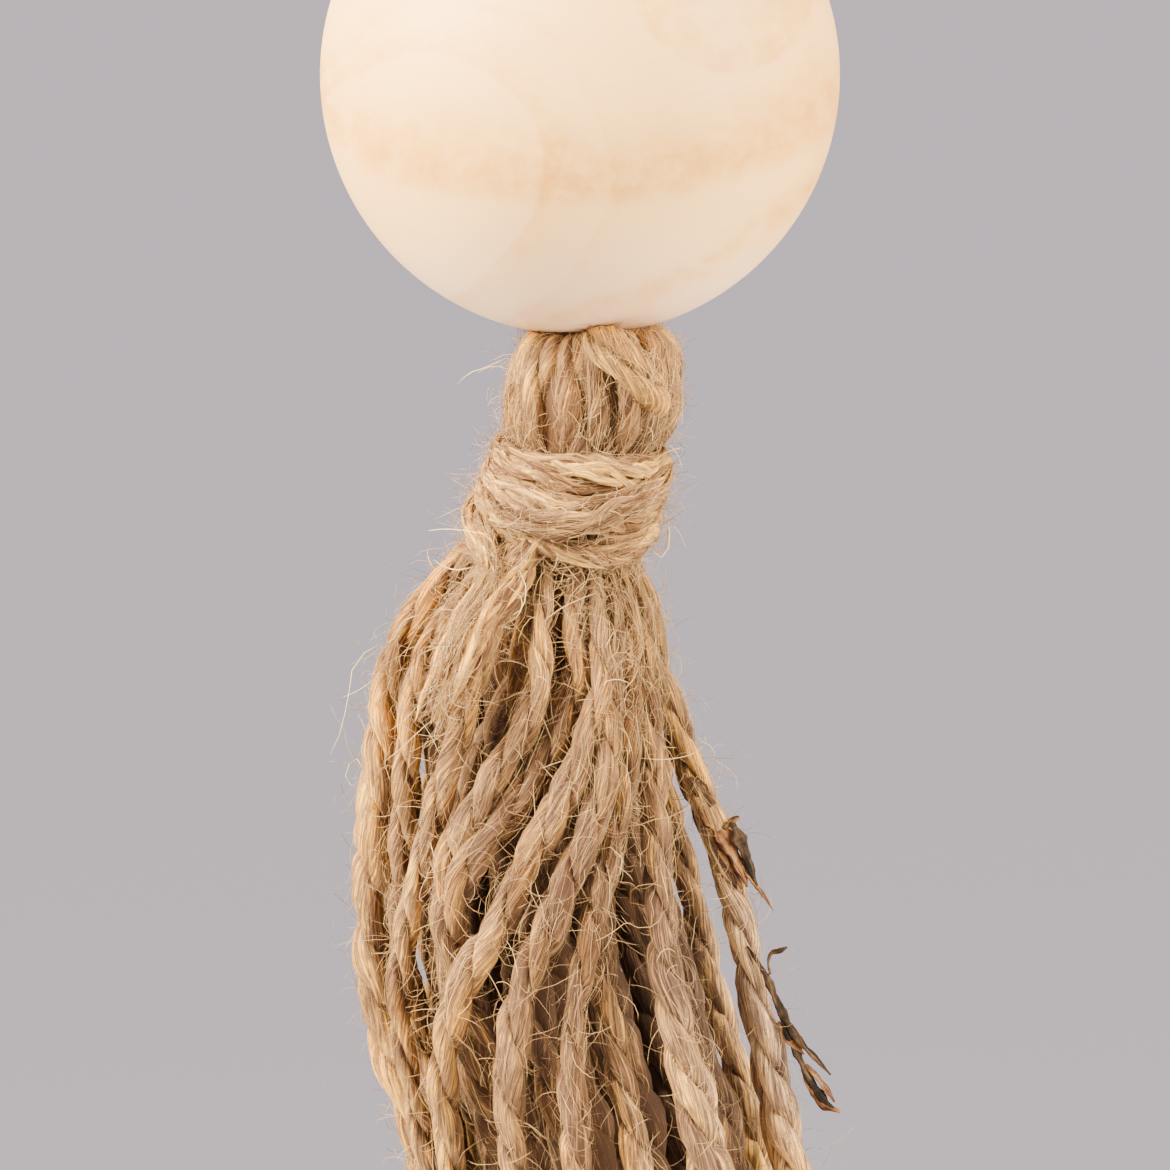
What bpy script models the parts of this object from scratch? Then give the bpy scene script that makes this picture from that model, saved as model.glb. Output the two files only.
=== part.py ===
"""Jute tassel hanging under a turned wooden bead, held by its own knotted tie.

Units are millimetres here and metres in the model, +Z up, front towards -Y. The origin is the hang
point, at the top of the tie. "Drop" is the distance straight down from the bead's lowest point.
The tassel is a bundle of jute twines folded over the tie: the folds make the head, a binding of
the same twine gathers the neck, and the cut lengths hang below it as a skirt.
"""
import bpy
import numpy as np

MM = 0.001
GAP = 0.35                      # clearance between two pieces

# Bead: a turned ball, drilled on its axis, with chamfered mouths.
BEAD_RADIUS = 20.0
BORE_RADIUS = 3.2
MOUTH_RADIUS = 4.0
BEAD_SEGMENTS = 40
BEAD_ROWS = 20

# Tie: two twines laid together, up through the bore to a stopper knot and a trimmed tuft.
# "Rise" is the height above the bead's highest point.
TIE_RADIUS = 2.4
TIE_FOOT_RISE = -39.9
TIE_LAY = 14.0                  # length of one full turn of the two twines
TIE_GROOVE = 0.18               # depth of the groove between them, against the radius
TIE_SEGMENTS = 16
STEM_ROWS = 16
KNOT_RADIUS = 4.7
KNOT_HALF_HEIGHT = 3.6
KNOT_RISE = 1.9                 # the knot's middle
KNOT_ROWS = 9
TUFT_FORM = (
    # rise, radius
    (5.0, 2.0),
    (6.2, 2.2),
    (7.4, 2.4),
    (8.6, 2.5),
    (9.3, 2.1),
)
TUFT_RISE = 9.5                 # the very top, where the tassel hangs from

BEAD_Z = -(TUFT_RISE + BEAD_RADIUS)
DROP_ZERO_Z = BEAD_Z - BEAD_RADIUS

# Head and neck. "drop" and "radius" give the turned form before its lobes, "lobe" is their depth.
HEAD_FORM = (
    # drop, radius, lobe
    (-2.2, 2.4, 0.00),
    (-1.9, 4.3, 0.05),
    (-1.1, 5.7, 0.20),
    (0.2, 6.5, 0.40),
    (1.8, 6.9, 0.50),
    (4.0, 7.1, 0.55),
    (6.0, 7.0, 0.50),
    (7.6, 6.5, 0.40),
    (8.8, 5.7, 0.20),
    (10.0, 5.0, 0.00),
    (12.0, 5.0, 0.00),
    (14.0, 5.3, 0.00),
    (15.5, 5.8, 0.00),
    (16.3, 5.5, 0.00),
    (16.8, 4.2, 0.00),
    (17.0, 2.2, 0.00),
)
LOBES = 15                      # folded twines that show round the head
POINTS_PER_LOBE = 4

# How the tassel leans: the middle of its section at each drop.
AXIS_FORM = (
    # drop, centre_x
    (0.0, 1.5),
    (6.0, 1.2),
    (10.5, -0.2),
    (15.0, -1.3),
    (18.0, -1.6),
    (20.0, -2.3),
    (22.0, -3.1),
    (25.0, -4.0),
    (30.0, -3.9),
    (36.0, -3.2),
    (43.0, -2.3),
    (50.0, -1.5),
    (56.0, -0.1),
    (61.0, 1.3),
    (70.0, 3.2),
    (85.0, 4.6),
    (105.0, 5.2),
)

# Skirt: how wide the cut lengths spread, and how thick a twine is, at each drop.
SKIRT_FORM = (
    # drop, half_width, twine
    (15.0, 5.4, 0.88),
    (16.5, 6.3, 1.00),
    (18.0, 7.6, 1.15),
    (20.0, 9.3, 1.38),
    (22.0, 10.4, 1.55),
    (24.5, 11.4, 1.75),
    (29.0, 12.6, 1.95),
    (34.0, 13.4, 2.10),
    (41.0, 15.4, 2.10),
    (50.0, 16.7, 2.10),
    (58.0, 16.4, 2.10),
    (64.0, 15.8, 2.10),
    (105.0, 15.2, 2.20),
)
SKIRT_DEPTH_SHARE = 0.86        # front to back against side to side
SPACING_PER_TWINE = 1.56        # clears two square sections in any direction
EDGE_PER_TWINE = 0.63

# The neck's lower end is tilted: it sits lower at the front and on the right.
TILT_SIDE = 0.27
TILT_FRONT = 0.30
TILT_FORM = (
    # drop, share of the tilt
    (8.0, 0.0),
    (10.0, 0.15),
    (14.5, 1.0),
    (17.5, 1.0),
    (30.0, 0.0),
)

# Cut lengths. Angles are degrees round the skirt, 0 at the front and positive to the right, at
# five drops; "spread" is how far out a length lies there, 1 at the skirt's surface.
ANGLE_DROPS = (18.0, 30.0, 40.0, 50.0, 65.0)
SPREAD_DROPS = (18.0, 40.0, 65.0)
LENGTHS = (
    # name, angle at each drop, spread at three drops
    ("left_edge", (-80, -88, -92, -96, -100), (1.0, 1.0, 1.0)),
    ("left_inner", (-52, -62, -74, -84, -92), (1.0, 0.85, 0.85)),
    ("left_front", (-24, -29, -48, -60, -78), (1.0, 1.0, 1.0)),
    ("front_a", (-6, -13, -34, -46, -50), (1.0, 0.9, 0.62)),
    ("front_b", (10, -4, -24, -34, -40), (1.0, 0.85, 0.50)),
    ("front_c", (26, 8, -18, -40, -63), (1.0, 1.0, 1.0)),
    ("front_d", (44, 36, 2, -16, -35), (1.0, 1.0, 1.0)),
    ("front_e", (58, 46, 17, 2, -12), (1.0, 1.0, 1.0)),
    ("right_front", (76, 56, 36, 34, 31), (1.0, 1.0, 1.0)),
    ("right_edge", (92, 88, 76, 77, 86), (1.0, 1.0, 1.0)),
    ("right_inner", (70, 62, 58, 56, 58), (0.6, 0.6, 0.72)),
    ("middle_a", (36, 20, -8, -14, -22), (0.6, 0.75, 0.62)),
    ("middle_b", (14, 22, 16, 13, 12), (0.6, 0.6, 0.95)),
    ("middle_c", (-40, -42, -62, -70, -72), (0.6, 0.6, 0.62)),
    ("middle_d", (100, 100, 100, 100, 98), (0.6, 0.6, 0.70)),
    ("back_a", (110, 108, 106, 106, 108), (1.0, 1.0, 1.0)),
    ("back_b", (128, 128, 127, 126, 126), (1.0, 1.0, 1.0)),
    ("back_c", (146, 147, 146, 147, 146), (1.0, 1.0, 0.95)),
    ("back_d", (164, 166, 167, 166, 167), (1.0, 1.0, 1.0)),
    ("back_e", (182, 184, 186, 187, 186), (1.0, 1.0, 1.0)),
    ("back_f", (200, 202, 204, 205, 206), (1.0, 1.0, 0.95)),
    ("back_g", (218, 220, 222, 223, 225), (1.0, 1.0, 1.0)),
    ("back_h", (236, 238, 240, 241, 243), (1.0, 1.0, 1.0)),
    ("back_i", (254, 254, 252, 250, 252), (1.0, 1.0, 0.95)),
    ("inner_a", (140, 140, 138, 138, 138), (0.6, 0.6, 0.62)),
    ("inner_b", (180, 180, 178, 176, 176), (0.6, 0.6, 0.60)),
    ("inner_c", (222, 220, 218, 216, 216), (0.6, 0.6, 0.62)),
    ("inner_d", (262, 258, 256, 256, 258), (0.6, 0.6, 0.60)),
    ("core_a", (0, 0, -4, -8, -10), (0.22, 0.25, 0.22)),
    ("core_b", (120, 120, 118, 116, 114), (0.22, 0.25, 0.25)),
    ("core_c", (240, 240, 242, 244, 246), (0.22, 0.25, 0.25)),
)
LENGTH_LEVELS = (15.0, 16.5, 18.0, 19.5, 21.0, 23.0, 25.0, 27.5, 30.0, 33.0, 36.0, 39.0, 42.0,
                 45.0, 48.0, 51.0, 54.0, 57.0, 60.0, 63.0, 66.0, 70.0, 75.0, 81.0, 88.0, 96.0, 104.0)
TRIM_SPREAD = 2.2               # how unevenly the ends were cut
SETTLE_ROUNDS = 240

# Slivers of bark left in the right-hand length: where each starts, ends, and how far it stands off.
SLIVER_CARRIER = "right_edge"
SLIVERS = (
    # start_drop, end_drop, stand_off, width
    (36.5, 43.5, 2.8, 1.3),
    (49.5, 60.0, 4.4, 1.5),
)

# Binding: one twine wound three times round the neck, its loose end hanging over the skirt.
WRAP_HALF_THICK = 0.95
WRAP_MOST_HALF_HIGH = 1.45
WRAP_SEAM = 0.25                # what two neighbouring wraps leave between them
WRAP_FIRST_DROP = 10.0
WRAP_PITCH = 2.2
WRAP_START_TURN = -0.45
WRAP_END_TURN = 2.86
WRAP_STEPS_PER_TURN = 20
WRAP_LIFT = (0.4, 0.6)          # how far the first wrap rises at the right, and each later one more
LOOSE_END = (
    # drop, angle, clear of the skirt, half_width
    (17.0, -38.0, 0.2, 0.95),
    (18.3, -36.0, 0.2, 1.15),
    (19.8, -36.0, 0.1, 1.25),
    (21.8, -33.0, 0.1, 1.20),
    (24.2, -29.0, 0.1, 1.00),
    (26.4, -28.5, 0.2, 0.75),
    (28.2, -29.0, 0.3, 0.45),
)

JUTE = ((0.56, 0.37, 0.20), 0.9)
PALE_JUTE = ((0.66, 0.48, 0.28), 0.9)
WOOD = ((0.88, 0.74, 0.58), 0.45)


def column(table, index):
    """One column of a table as an array."""
    return np.array([row[index] for row in table], dtype=float)


def read(table, index, drop):
    """A table's column, read at a drop by straight lines between its rows."""
    return np.interp(drop, column(table, 0), column(table, index))


def place(drop, across, front):
    """World points, in mm, from a drop and the offsets from the tassel's own axis.

    The tilt lowers what lies to the front and to the right of the axis.
    """
    share = read(TILT_FORM, 1, drop)
    lowered = drop + share * (TILT_SIDE * across + TILT_FRONT * front)
    return np.stack([read(AXIS_FORM, 1, drop) + across, -front, DROP_ZERO_Z - lowered], axis=-1)


def ring_faces(rows, segments):
    """Faces of a tube of rows x segments points with a point at each end, facing outwards."""
    faces = []
    for row in range(rows - 1):
        for step in range(segments):
            here = row * segments + step
            beside = row * segments + (step + 1) % segments
            faces.append((here, here + segments, beside + segments, beside))
    first = rows * segments
    last = first + 1
    for step in range(segments):
        beside = (step + 1) % segments
        faces.append((first, step, beside))
        faces.append((last, (rows - 1) * segments + beside, (rows - 1) * segments + step))
    return faces


def closed_tube(rings, first_pole, last_pole):
    """Points and faces of a closed tube, from an array of rings (rows, segments, 3) in mm."""
    rows, segments = rings.shape[:2]
    points = np.concatenate([rings.reshape(-1, 3), [first_pole], [last_pole]])
    return points, ring_faces(rows, segments)


def make_material(name, finish):
    """A Principled material of one colour and roughness."""
    colour, roughness = finish
    material = bpy.data.materials.new(name)
    material.use_nodes = True
    shader = material.node_tree.nodes["Principled BSDF"]
    shader.inputs["Base Color"].default_value = (*colour, 1.0)
    shader.inputs["Roughness"].default_value = roughness
    shader.inputs["Metallic"].default_value = 0.0
    return material


def make_object(name, points, faces, material):
    """A mesh object from points in mm."""
    mesh = bpy.data.meshes.new(name)
    mesh.from_pydata((np.asarray(points) * MM).tolist(), [], faces)
    mesh.validate()
    mesh.shade_smooth()
    mesh.materials.append(material)
    piece = bpy.data.objects.new(name, mesh)
    bpy.context.scene.collection.objects.link(piece)
    return piece


def make_bead(material):
    """A ball drilled along Z: an arc from mouth to mouth outside, a straight bore inside."""
    mouth_angle = np.arcsin(MOUTH_RADIUS / BEAD_RADIUS)
    arc = np.linspace(mouth_angle, np.pi - mouth_angle, BEAD_ROWS)
    mouth_height = BEAD_RADIUS * np.cos(mouth_angle)
    bore_height = mouth_height - (MOUTH_RADIUS - BORE_RADIUS)
    radius = np.concatenate([BEAD_RADIUS * np.sin(arc), [BORE_RADIUS, BORE_RADIUS]])
    height = np.concatenate([BEAD_RADIUS * np.cos(arc), [-bore_height, bore_height]])
    turn = np.linspace(0.0, 2.0 * np.pi, BEAD_SEGMENTS, endpoint=False)
    points = np.stack([np.outer(radius, np.cos(turn)), np.outer(radius, np.sin(turn)),
                       np.repeat((BEAD_Z + height)[:, None], BEAD_SEGMENTS, axis=1)], axis=-1)
    rows = len(radius)
    faces = []
    for row in range(rows):
        for step in range(BEAD_SEGMENTS):
            beside = (step + 1) % BEAD_SEGMENTS
            below = (row + 1) % rows
            faces.append((row * BEAD_SEGMENTS + step, below * BEAD_SEGMENTS + step,
                          below * BEAD_SEGMENTS + beside, row * BEAD_SEGMENTS + beside))
    return make_object("bead", points.reshape(-1, 3), faces, material)


def make_tie(material):
    """The tie as one turned surface, its two twines shown as grooves that wind up it.

    Its radius is that of the plain twines in the bore, an ellipsoid at the knot, and the tuft's
    own above that, whichever is larger.
    """
    stem = np.linspace(TIE_FOOT_RISE, KNOT_RISE - KNOT_HALF_HEIGHT, STEM_ROWS)
    swing = np.radians(np.linspace(-70.0, 62.0, KNOT_ROWS))
    rise = np.concatenate([stem, KNOT_RISE + KNOT_HALF_HEIGHT * np.sin(swing), column(TUFT_FORM, 0)[1:]])
    across = (rise - KNOT_RISE) / KNOT_HALF_HEIGHT
    knot = KNOT_RADIUS * np.sqrt(np.clip(1.0 - across ** 2, 0.0, 1.0))
    plain = np.where(rise > KNOT_RISE, read(TUFT_FORM, 1, rise), TIE_RADIUS)
    turn = np.linspace(0.0, 2.0 * np.pi, TIE_SEGMENTS, endpoint=False)
    wound = turn[None, :] - 2.0 * np.pi * rise[:, None] / TIE_LAY
    groove = 1.0 - TIE_GROOVE * np.sin(wound) ** 2
    reach = np.maximum(knot, plain)[:, None] * groove
    bead_top = BEAD_Z + BEAD_RADIUS
    rings = np.stack([reach * np.cos(turn), reach * np.sin(turn),
                      np.broadcast_to((bead_top + rise)[:, None], reach.shape)], axis=-1)
    top = (0.0, 0.0, bead_top + TUFT_RISE)
    foot = (0.0, 0.0, bead_top + TIE_FOOT_RISE)
    points, faces = closed_tube(rings[::-1], top, foot)
    return make_object("tie", points, faces, material)


def head_rings():
    """The head and neck as rings: a turned form, scalloped into lobes, pressed under the ball.

    A point's height is its own, or that of the ball's underside above it less the gap, whichever
    is lower.
    """
    segments = LOBES * POINTS_PER_LOBE
    angle = np.linspace(0.0, 2.0 * np.pi, segments, endpoint=False)
    drop = column(HEAD_FORM, 0)[:, None]
    scallop = np.abs(np.cos(0.5 * LOBES * angle))[None, :] - 1.0
    radius = column(HEAD_FORM, 1)[:, None] + column(HEAD_FORM, 2)[:, None] * scallop
    rings = place(drop + 0.0 * radius, radius * np.sin(angle), radius * np.cos(angle))
    off_axis = np.hypot(rings[..., 0], rings[..., 1])
    underside = BEAD_Z - np.sqrt(BEAD_RADIUS ** 2 - off_axis ** 2)
    rings[..., 2] = np.minimum(rings[..., 2], underside - GAP)
    return rings


def settle_lengths():
    """Middle points of every cut length at every level, as offsets (levels, lengths, 2) in mm.

    They start where the table puts them. Then, in rounds, two that lie too close push each other
    apart, those outside the skirt's ellipse come back in, and each is eased along its length.
    """
    levels = np.array(LENGTH_LEVELS)
    names = [row[0] for row in LENGTHS]
    angle = np.radians([np.interp(levels, ANGLE_DROPS, row[1]) for row in LENGTHS]).T
    spread = np.array([np.interp(levels, SPREAD_DROPS, row[2]) for row in LENGTHS]).T
    twine = read(SKIRT_FORM, 2, levels)
    half_width = read(SKIRT_FORM, 1, levels)
    edge = np.stack([half_width - EDGE_PER_TWINE * twine,
                     SKIRT_DEPTH_SHARE * half_width - EDGE_PER_TWINE * twine], axis=-1)[:, None, :]
    spacing = (SPACING_PER_TWINE * twine)[:, None, None]
    wished = spread[..., None] * edge * np.stack([np.sin(angle), np.cos(angle)], axis=-1)
    middle = wished.copy()
    for settle_round in range(SETTLE_ROUNDS):
        if settle_round < SETTLE_ROUNDS - 40:
            eased = middle.copy()
            eased[1:-1] = 0.5 * middle[1:-1] + 0.25 * (middle[:-2] + middle[2:])
            middle = 0.96 * eased + 0.04 * wished
        between = middle[:, :, None, :] - middle[:, None, :, :]
        far = np.linalg.norm(between, axis=-1)
        far += 1e9 * np.eye(len(names))
        short = np.clip(spacing - far, 0.0, None)
        middle = middle + 0.45 * np.sum(between / far[..., None] * short[..., None], axis=2)
        reach = np.linalg.norm(middle / edge, axis=-1, keepdims=True)
        middle = middle / np.maximum(reach, 1.0)
    return dict(zip(names, np.moveaxis(middle, 1, 0)))


def square_rings(path, width):
    """Four-cornered rings along a path of points, each square to the path, flats to the front."""
    along = np.gradient(path, axis=0)
    along /= np.linalg.norm(along, axis=1, keepdims=True)
    side = np.cross(np.array([0.0, -1.0, 0.0]), along)
    side /= np.linalg.norm(side, axis=1, keepdims=True)
    front = np.cross(along, side)
    half = 0.5 * np.asarray(width)[:, None]
    corners = [half * (side + front), half * (side - front), -half * (side + front), half * (front - side)]
    return path[:, None, :] + np.stack(corners, axis=1)


def length_path(name, middles):
    """World path of one cut length and its thickness, with its own trimmed end."""
    levels = np.array(LENGTH_LEVELS)
    order = [row[0] for row in LENGTHS].index(name)
    trim = TRIM_SPREAD * np.sin(2.4 * order + 0.7)
    below = np.clip((levels - 60.0) / (levels[-1] - 60.0), 0.0, 1.0)
    middle = middles[name]
    return place(levels + trim * below, middle[:, 0], middle[:, 1]), read(SKIRT_FORM, 2, levels)


def make_bundle(material):
    """Head, neck, cut lengths and bark slivers, joined into one solid."""
    rings = head_rings()
    top = rings[0].mean(axis=0)
    bottom = rings[-1].mean(axis=0)
    points, faces = closed_tube(rings, top, bottom)
    bundle = make_object("bundle", points, faces, material)
    middles = settle_lengths()
    all_points, all_faces = [], []
    for row in LENGTHS:
        path, width = length_path(row[0], middles)
        add_tube(all_points, all_faces, square_rings(path, width), path[0], path[-1])
    lengths = make_object("lengths_cutter", np.array(all_points), all_faces, material)
    all_points, all_faces = [], []
    carrier, width = length_path(SLIVER_CARRIER, middles)
    for start_drop, end_drop, stand_off, sliver_width in SLIVERS:
        share = np.linspace(0.0, 1.0, 5)
        drop = start_drop + share * (end_drop - start_drop)
        on_carrier = np.stack([np.interp(drop, LENGTH_LEVELS, carrier[:, axis]) for axis in range(3)], axis=-1)
        path = on_carrier + np.stack([stand_off * share, 0.0 * share, 0.0 * share], axis=-1)
        thin = sliver_width * np.array([0.6, 1.0, 0.9, 0.7, 0.35])
        add_tube(all_points, all_faces, square_rings(path, thin), path[0], path[-1])
    slivers = make_object("slivers_cutter", np.array(all_points), all_faces, material)
    for joined in (lengths, slivers):
        joined.hide_render = True
        joined.display_type = 'WIRE'
        union = bundle.modifiers.new(joined.name, 'BOOLEAN')
        union.operation = 'UNION'
        union.solver = 'EXACT'
        union.use_self = True
        union.object = joined
    return bundle


def add_tube(all_points, all_faces, rings, first_pole, last_pole):
    """Appends one closed tube to growing lists of points and faces."""
    points, faces = closed_tube(rings, first_pole, last_pole)
    start = len(all_points)
    all_points.extend(points.tolist())
    all_faces.extend(tuple(start + index for index in face) for face in faces)


def binding_route():
    """Middle points of the binding, their outward directions and their half widths.

    The wraps are a helix round the neck that rises at the right; the loose end leaves it at the
    front left and hangs over the skirt, just clear of it.
    """
    turns = np.arange(WRAP_START_TURN, WRAP_END_TURN, 1.0 / WRAP_STEPS_PER_TURN)
    angle = 2.0 * np.pi * turns
    lift = (WRAP_LIFT[0] + WRAP_LIFT[1] * np.maximum(turns, 0.0)) * np.clip(np.sin(angle), 0.0, 1.0) ** 2
    drop = WRAP_FIRST_DROP + WRAP_PITCH * turns - lift
    carried_on = np.maximum(read(HEAD_FORM, 1, drop), read(SKIRT_FORM, 1, drop))
    radius = carried_on + GAP + WRAP_HALF_THICK
    wraps = place(drop, radius * np.sin(angle), radius * np.cos(angle))
    pitch = np.linalg.norm(wraps[WRAP_STEPS_PER_TURN:] - wraps[:-WRAP_STEPS_PER_TURN], axis=1)
    above = np.concatenate([pitch[:WRAP_STEPS_PER_TURN], pitch])
    below = np.concatenate([pitch, pitch[-WRAP_STEPS_PER_TURN:]])
    half_high = np.minimum(0.5 * (np.minimum(above, below) - WRAP_SEAM), WRAP_MOST_HALF_HIGH)
    loose_drop = column(LOOSE_END, 0)
    loose_angle = np.radians(column(LOOSE_END, 1)) + 2.0 * np.pi * 3.0
    loose_radius = read(SKIRT_FORM, 1, loose_drop) + GAP + WRAP_HALF_THICK + column(LOOSE_END, 2)
    drop = np.concatenate([drop, loose_drop])
    angle = np.concatenate([angle, loose_angle])
    radius = np.concatenate([radius, loose_radius])
    half = np.concatenate([half_high, column(LOOSE_END, 3)])
    path = place(drop, radius * np.sin(angle), radius * np.cos(angle))
    outward = np.stack([np.sin(angle), -np.cos(angle), 0.0 * angle], axis=-1)
    return path, outward, half


def make_binding(material):
    """The binding as a six-sided tube along its route."""
    path, outward, half = binding_route()
    along = np.gradient(path, axis=0)
    along /= np.linalg.norm(along, axis=1, keepdims=True)
    outward = outward - along * np.sum(outward * along, axis=1, keepdims=True)
    outward /= np.linalg.norm(outward, axis=1, keepdims=True)
    edgeways = np.cross(along, outward)
    turn = np.radians(np.arange(360.0, 0.0, -60.0))
    thick = np.minimum(WRAP_HALF_THICK, half)
    rings = (path[:, None, :]
             + thick[:, None, None] * np.cos(turn)[None, :, None] * outward[:, None, :]
             + half[:, None, None] * np.sin(turn)[None, :, None] * edgeways[:, None, :])
    points, faces = closed_tube(rings, path[0], path[-1])
    return make_object("binding", points, faces, material)


def main():
    """Clears the scene and builds the four pieces."""
    for old in list(bpy.data.objects):
        bpy.data.objects.remove(old, do_unlink=True)
    make_bead(make_material("turned_wood", WOOD))
    make_tie(make_material("tie_jute", JUTE))
    make_bundle(make_material("bundle_jute", JUTE))
    make_binding(make_material("binding_jute", PALE_JUTE))


main()
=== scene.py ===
"""Jute tassel under a turned wooden bead: the finished look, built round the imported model.

Lengths are in millimetres until a mesh is made. "Drop" is the distance straight down from the
bead's lowest point; the front faces -Y.
"""

import bpy
import numpy as np
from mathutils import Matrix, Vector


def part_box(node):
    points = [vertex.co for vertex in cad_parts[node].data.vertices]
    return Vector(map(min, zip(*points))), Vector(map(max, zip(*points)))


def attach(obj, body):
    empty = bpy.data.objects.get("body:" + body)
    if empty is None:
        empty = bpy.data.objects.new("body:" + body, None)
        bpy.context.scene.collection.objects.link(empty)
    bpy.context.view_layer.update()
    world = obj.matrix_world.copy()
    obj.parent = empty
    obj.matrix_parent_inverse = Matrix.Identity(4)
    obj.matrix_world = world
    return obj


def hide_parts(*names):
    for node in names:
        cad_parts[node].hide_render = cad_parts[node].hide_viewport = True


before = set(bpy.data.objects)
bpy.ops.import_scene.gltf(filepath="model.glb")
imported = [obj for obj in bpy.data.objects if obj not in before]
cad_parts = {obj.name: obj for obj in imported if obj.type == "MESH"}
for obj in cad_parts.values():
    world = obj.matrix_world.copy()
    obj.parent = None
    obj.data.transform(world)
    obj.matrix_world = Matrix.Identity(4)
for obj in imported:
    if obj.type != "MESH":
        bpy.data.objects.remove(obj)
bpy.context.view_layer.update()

MM = 0.001
FULL_TURN = 2.0 * np.pi
BEAD_LOW, BEAD_HIGH = (np.array(corner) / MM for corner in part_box("bead"))
TIE_LOW, TIE_HIGH = (np.array(corner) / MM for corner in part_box("tie"))

# ---------------------------------------------------------------- sizes

BEAD_RADIUS = 20.0
BEAD_Z = 0.5 * (BEAD_LOW[2] + BEAD_HIGH[2])
DROP_ZERO_Z = BEAD_Z - BEAD_RADIUS
BEAD_TOP_Z = BEAD_Z + BEAD_RADIUS
BORE_RADIUS = 3.2
MOUTH_RADIUS = 4.0
MOUTH_DEPTH = 1.1
BEAD_RINGS, BEAD_SIDES = 72, 96
GAP = 0.35

TWINE_WIDTH = 2.7               # a free twine across its two plies
TWINE_LAY = 10.3                # one full turn of its plies
STRAND_TWINE = 2.1              # what the skirt table calls a full-grown twine
FIBRE_TURN = -0.85              # radians that a ply's fibres drift round it in each mm
FIBRE_SHEAR = -0.73             # the same drift in mm
FOLD_LAY = 15.0                 # the folds round the head are looser
GROOVE_SHADE = 0.38             # painted shade: how much darker the plies are where two plies meet
PLY_OFFSET = 0.51               # from the twine's middle to a ply's, in mm of a full-grown twine
PLY_RADIUS = 0.865
PLY_RIDGES = ((2, 0.07), (3, 0.06), (5, 0.06))     # how many ridges round a ply, and how high
UV_STEP, UV_WRAP = 37.0, 911.0  # how far apart the tubes of a mesh read their fibres

HEAD_FORM = (
    # drop, radius
    (-2.2, 2.4), (-1.9, 4.3), (-1.1, 5.7), (0.2, 6.5), (1.8, 6.9), (4, 7.1), (6, 7), (7.6, 6.5),
    (8.8, 5.7), (10, 5), (12, 5), (14, 5.3), (15.5, 5.8), (16.3, 5.5),
)
HEAD_TWINES = 15
HEAD_TWINE = 2.7                # width of a folded twine round the head
HEAD_ROWS = 34
FOLD_DROPS = (-0.4, 0.1, 0.6, 1.4, 2.6, 4, 6, 8, 9.5, 11.5, 14, 17, 20)
FOLD_START_RADII = (2.3, 4.0, 5.0)
HEAD_CORE = (
    # drop, radius of the dark form inside the folds, a painted shade for the shadow between them
    (-0.2, 1.5), (0.3, 3.8), (1.2, 5.3), (3, 5.9), (6, 5.8), (8.5, 5), (10.5, 3.8), (13, 3.4),
    (16, 3.6), (19, 3.6), (22, 2.6),
)

AXIS_FORM = (
    # drop, centre_x
    (0, 1.5), (6, 1.2), (10.5, -0.2), (15, -1.3), (18, -1.6), (20, -2.3), (22, -3.1), (25, -4),
    (30, -3.9), (36, -3.2), (43, -2.3), (50, -1.5), (56, -0.1), (61, 1.3), (70, 3.2), (85, 4.6),
    (105, 5.2),
)

SKIRT_FORM = (
    # drop, half_width, twine
    (15, 5.4, 0.88), (16.5, 6.3, 1), (18, 7.6, 1.15), (20, 9.3, 1.38), (22, 10.4, 1.55),
    (24.5, 11.4, 1.75), (29, 12.6, 1.95), (34, 13.4, 2.1), (41, 15.4, 2.1), (50, 16.7, 2.1),
    (58, 16.4, 2.1), (64, 15.8, 2.1), (105, 15.2, 2.2),
)
SKIRT_DEPTH_SHARE = 0.86
SPACING_PER_TWINE = 1.56
EDGE_PER_TWINE = 0.63

TILT_SIDE = 0.27
TILT_FRONT = 0.30
TILT_FORM = (
    # drop, share of the tilt
    (8, 0), (10, 0.15), (14.5, 1), (17.5, 1), (30, 0),
)

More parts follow.
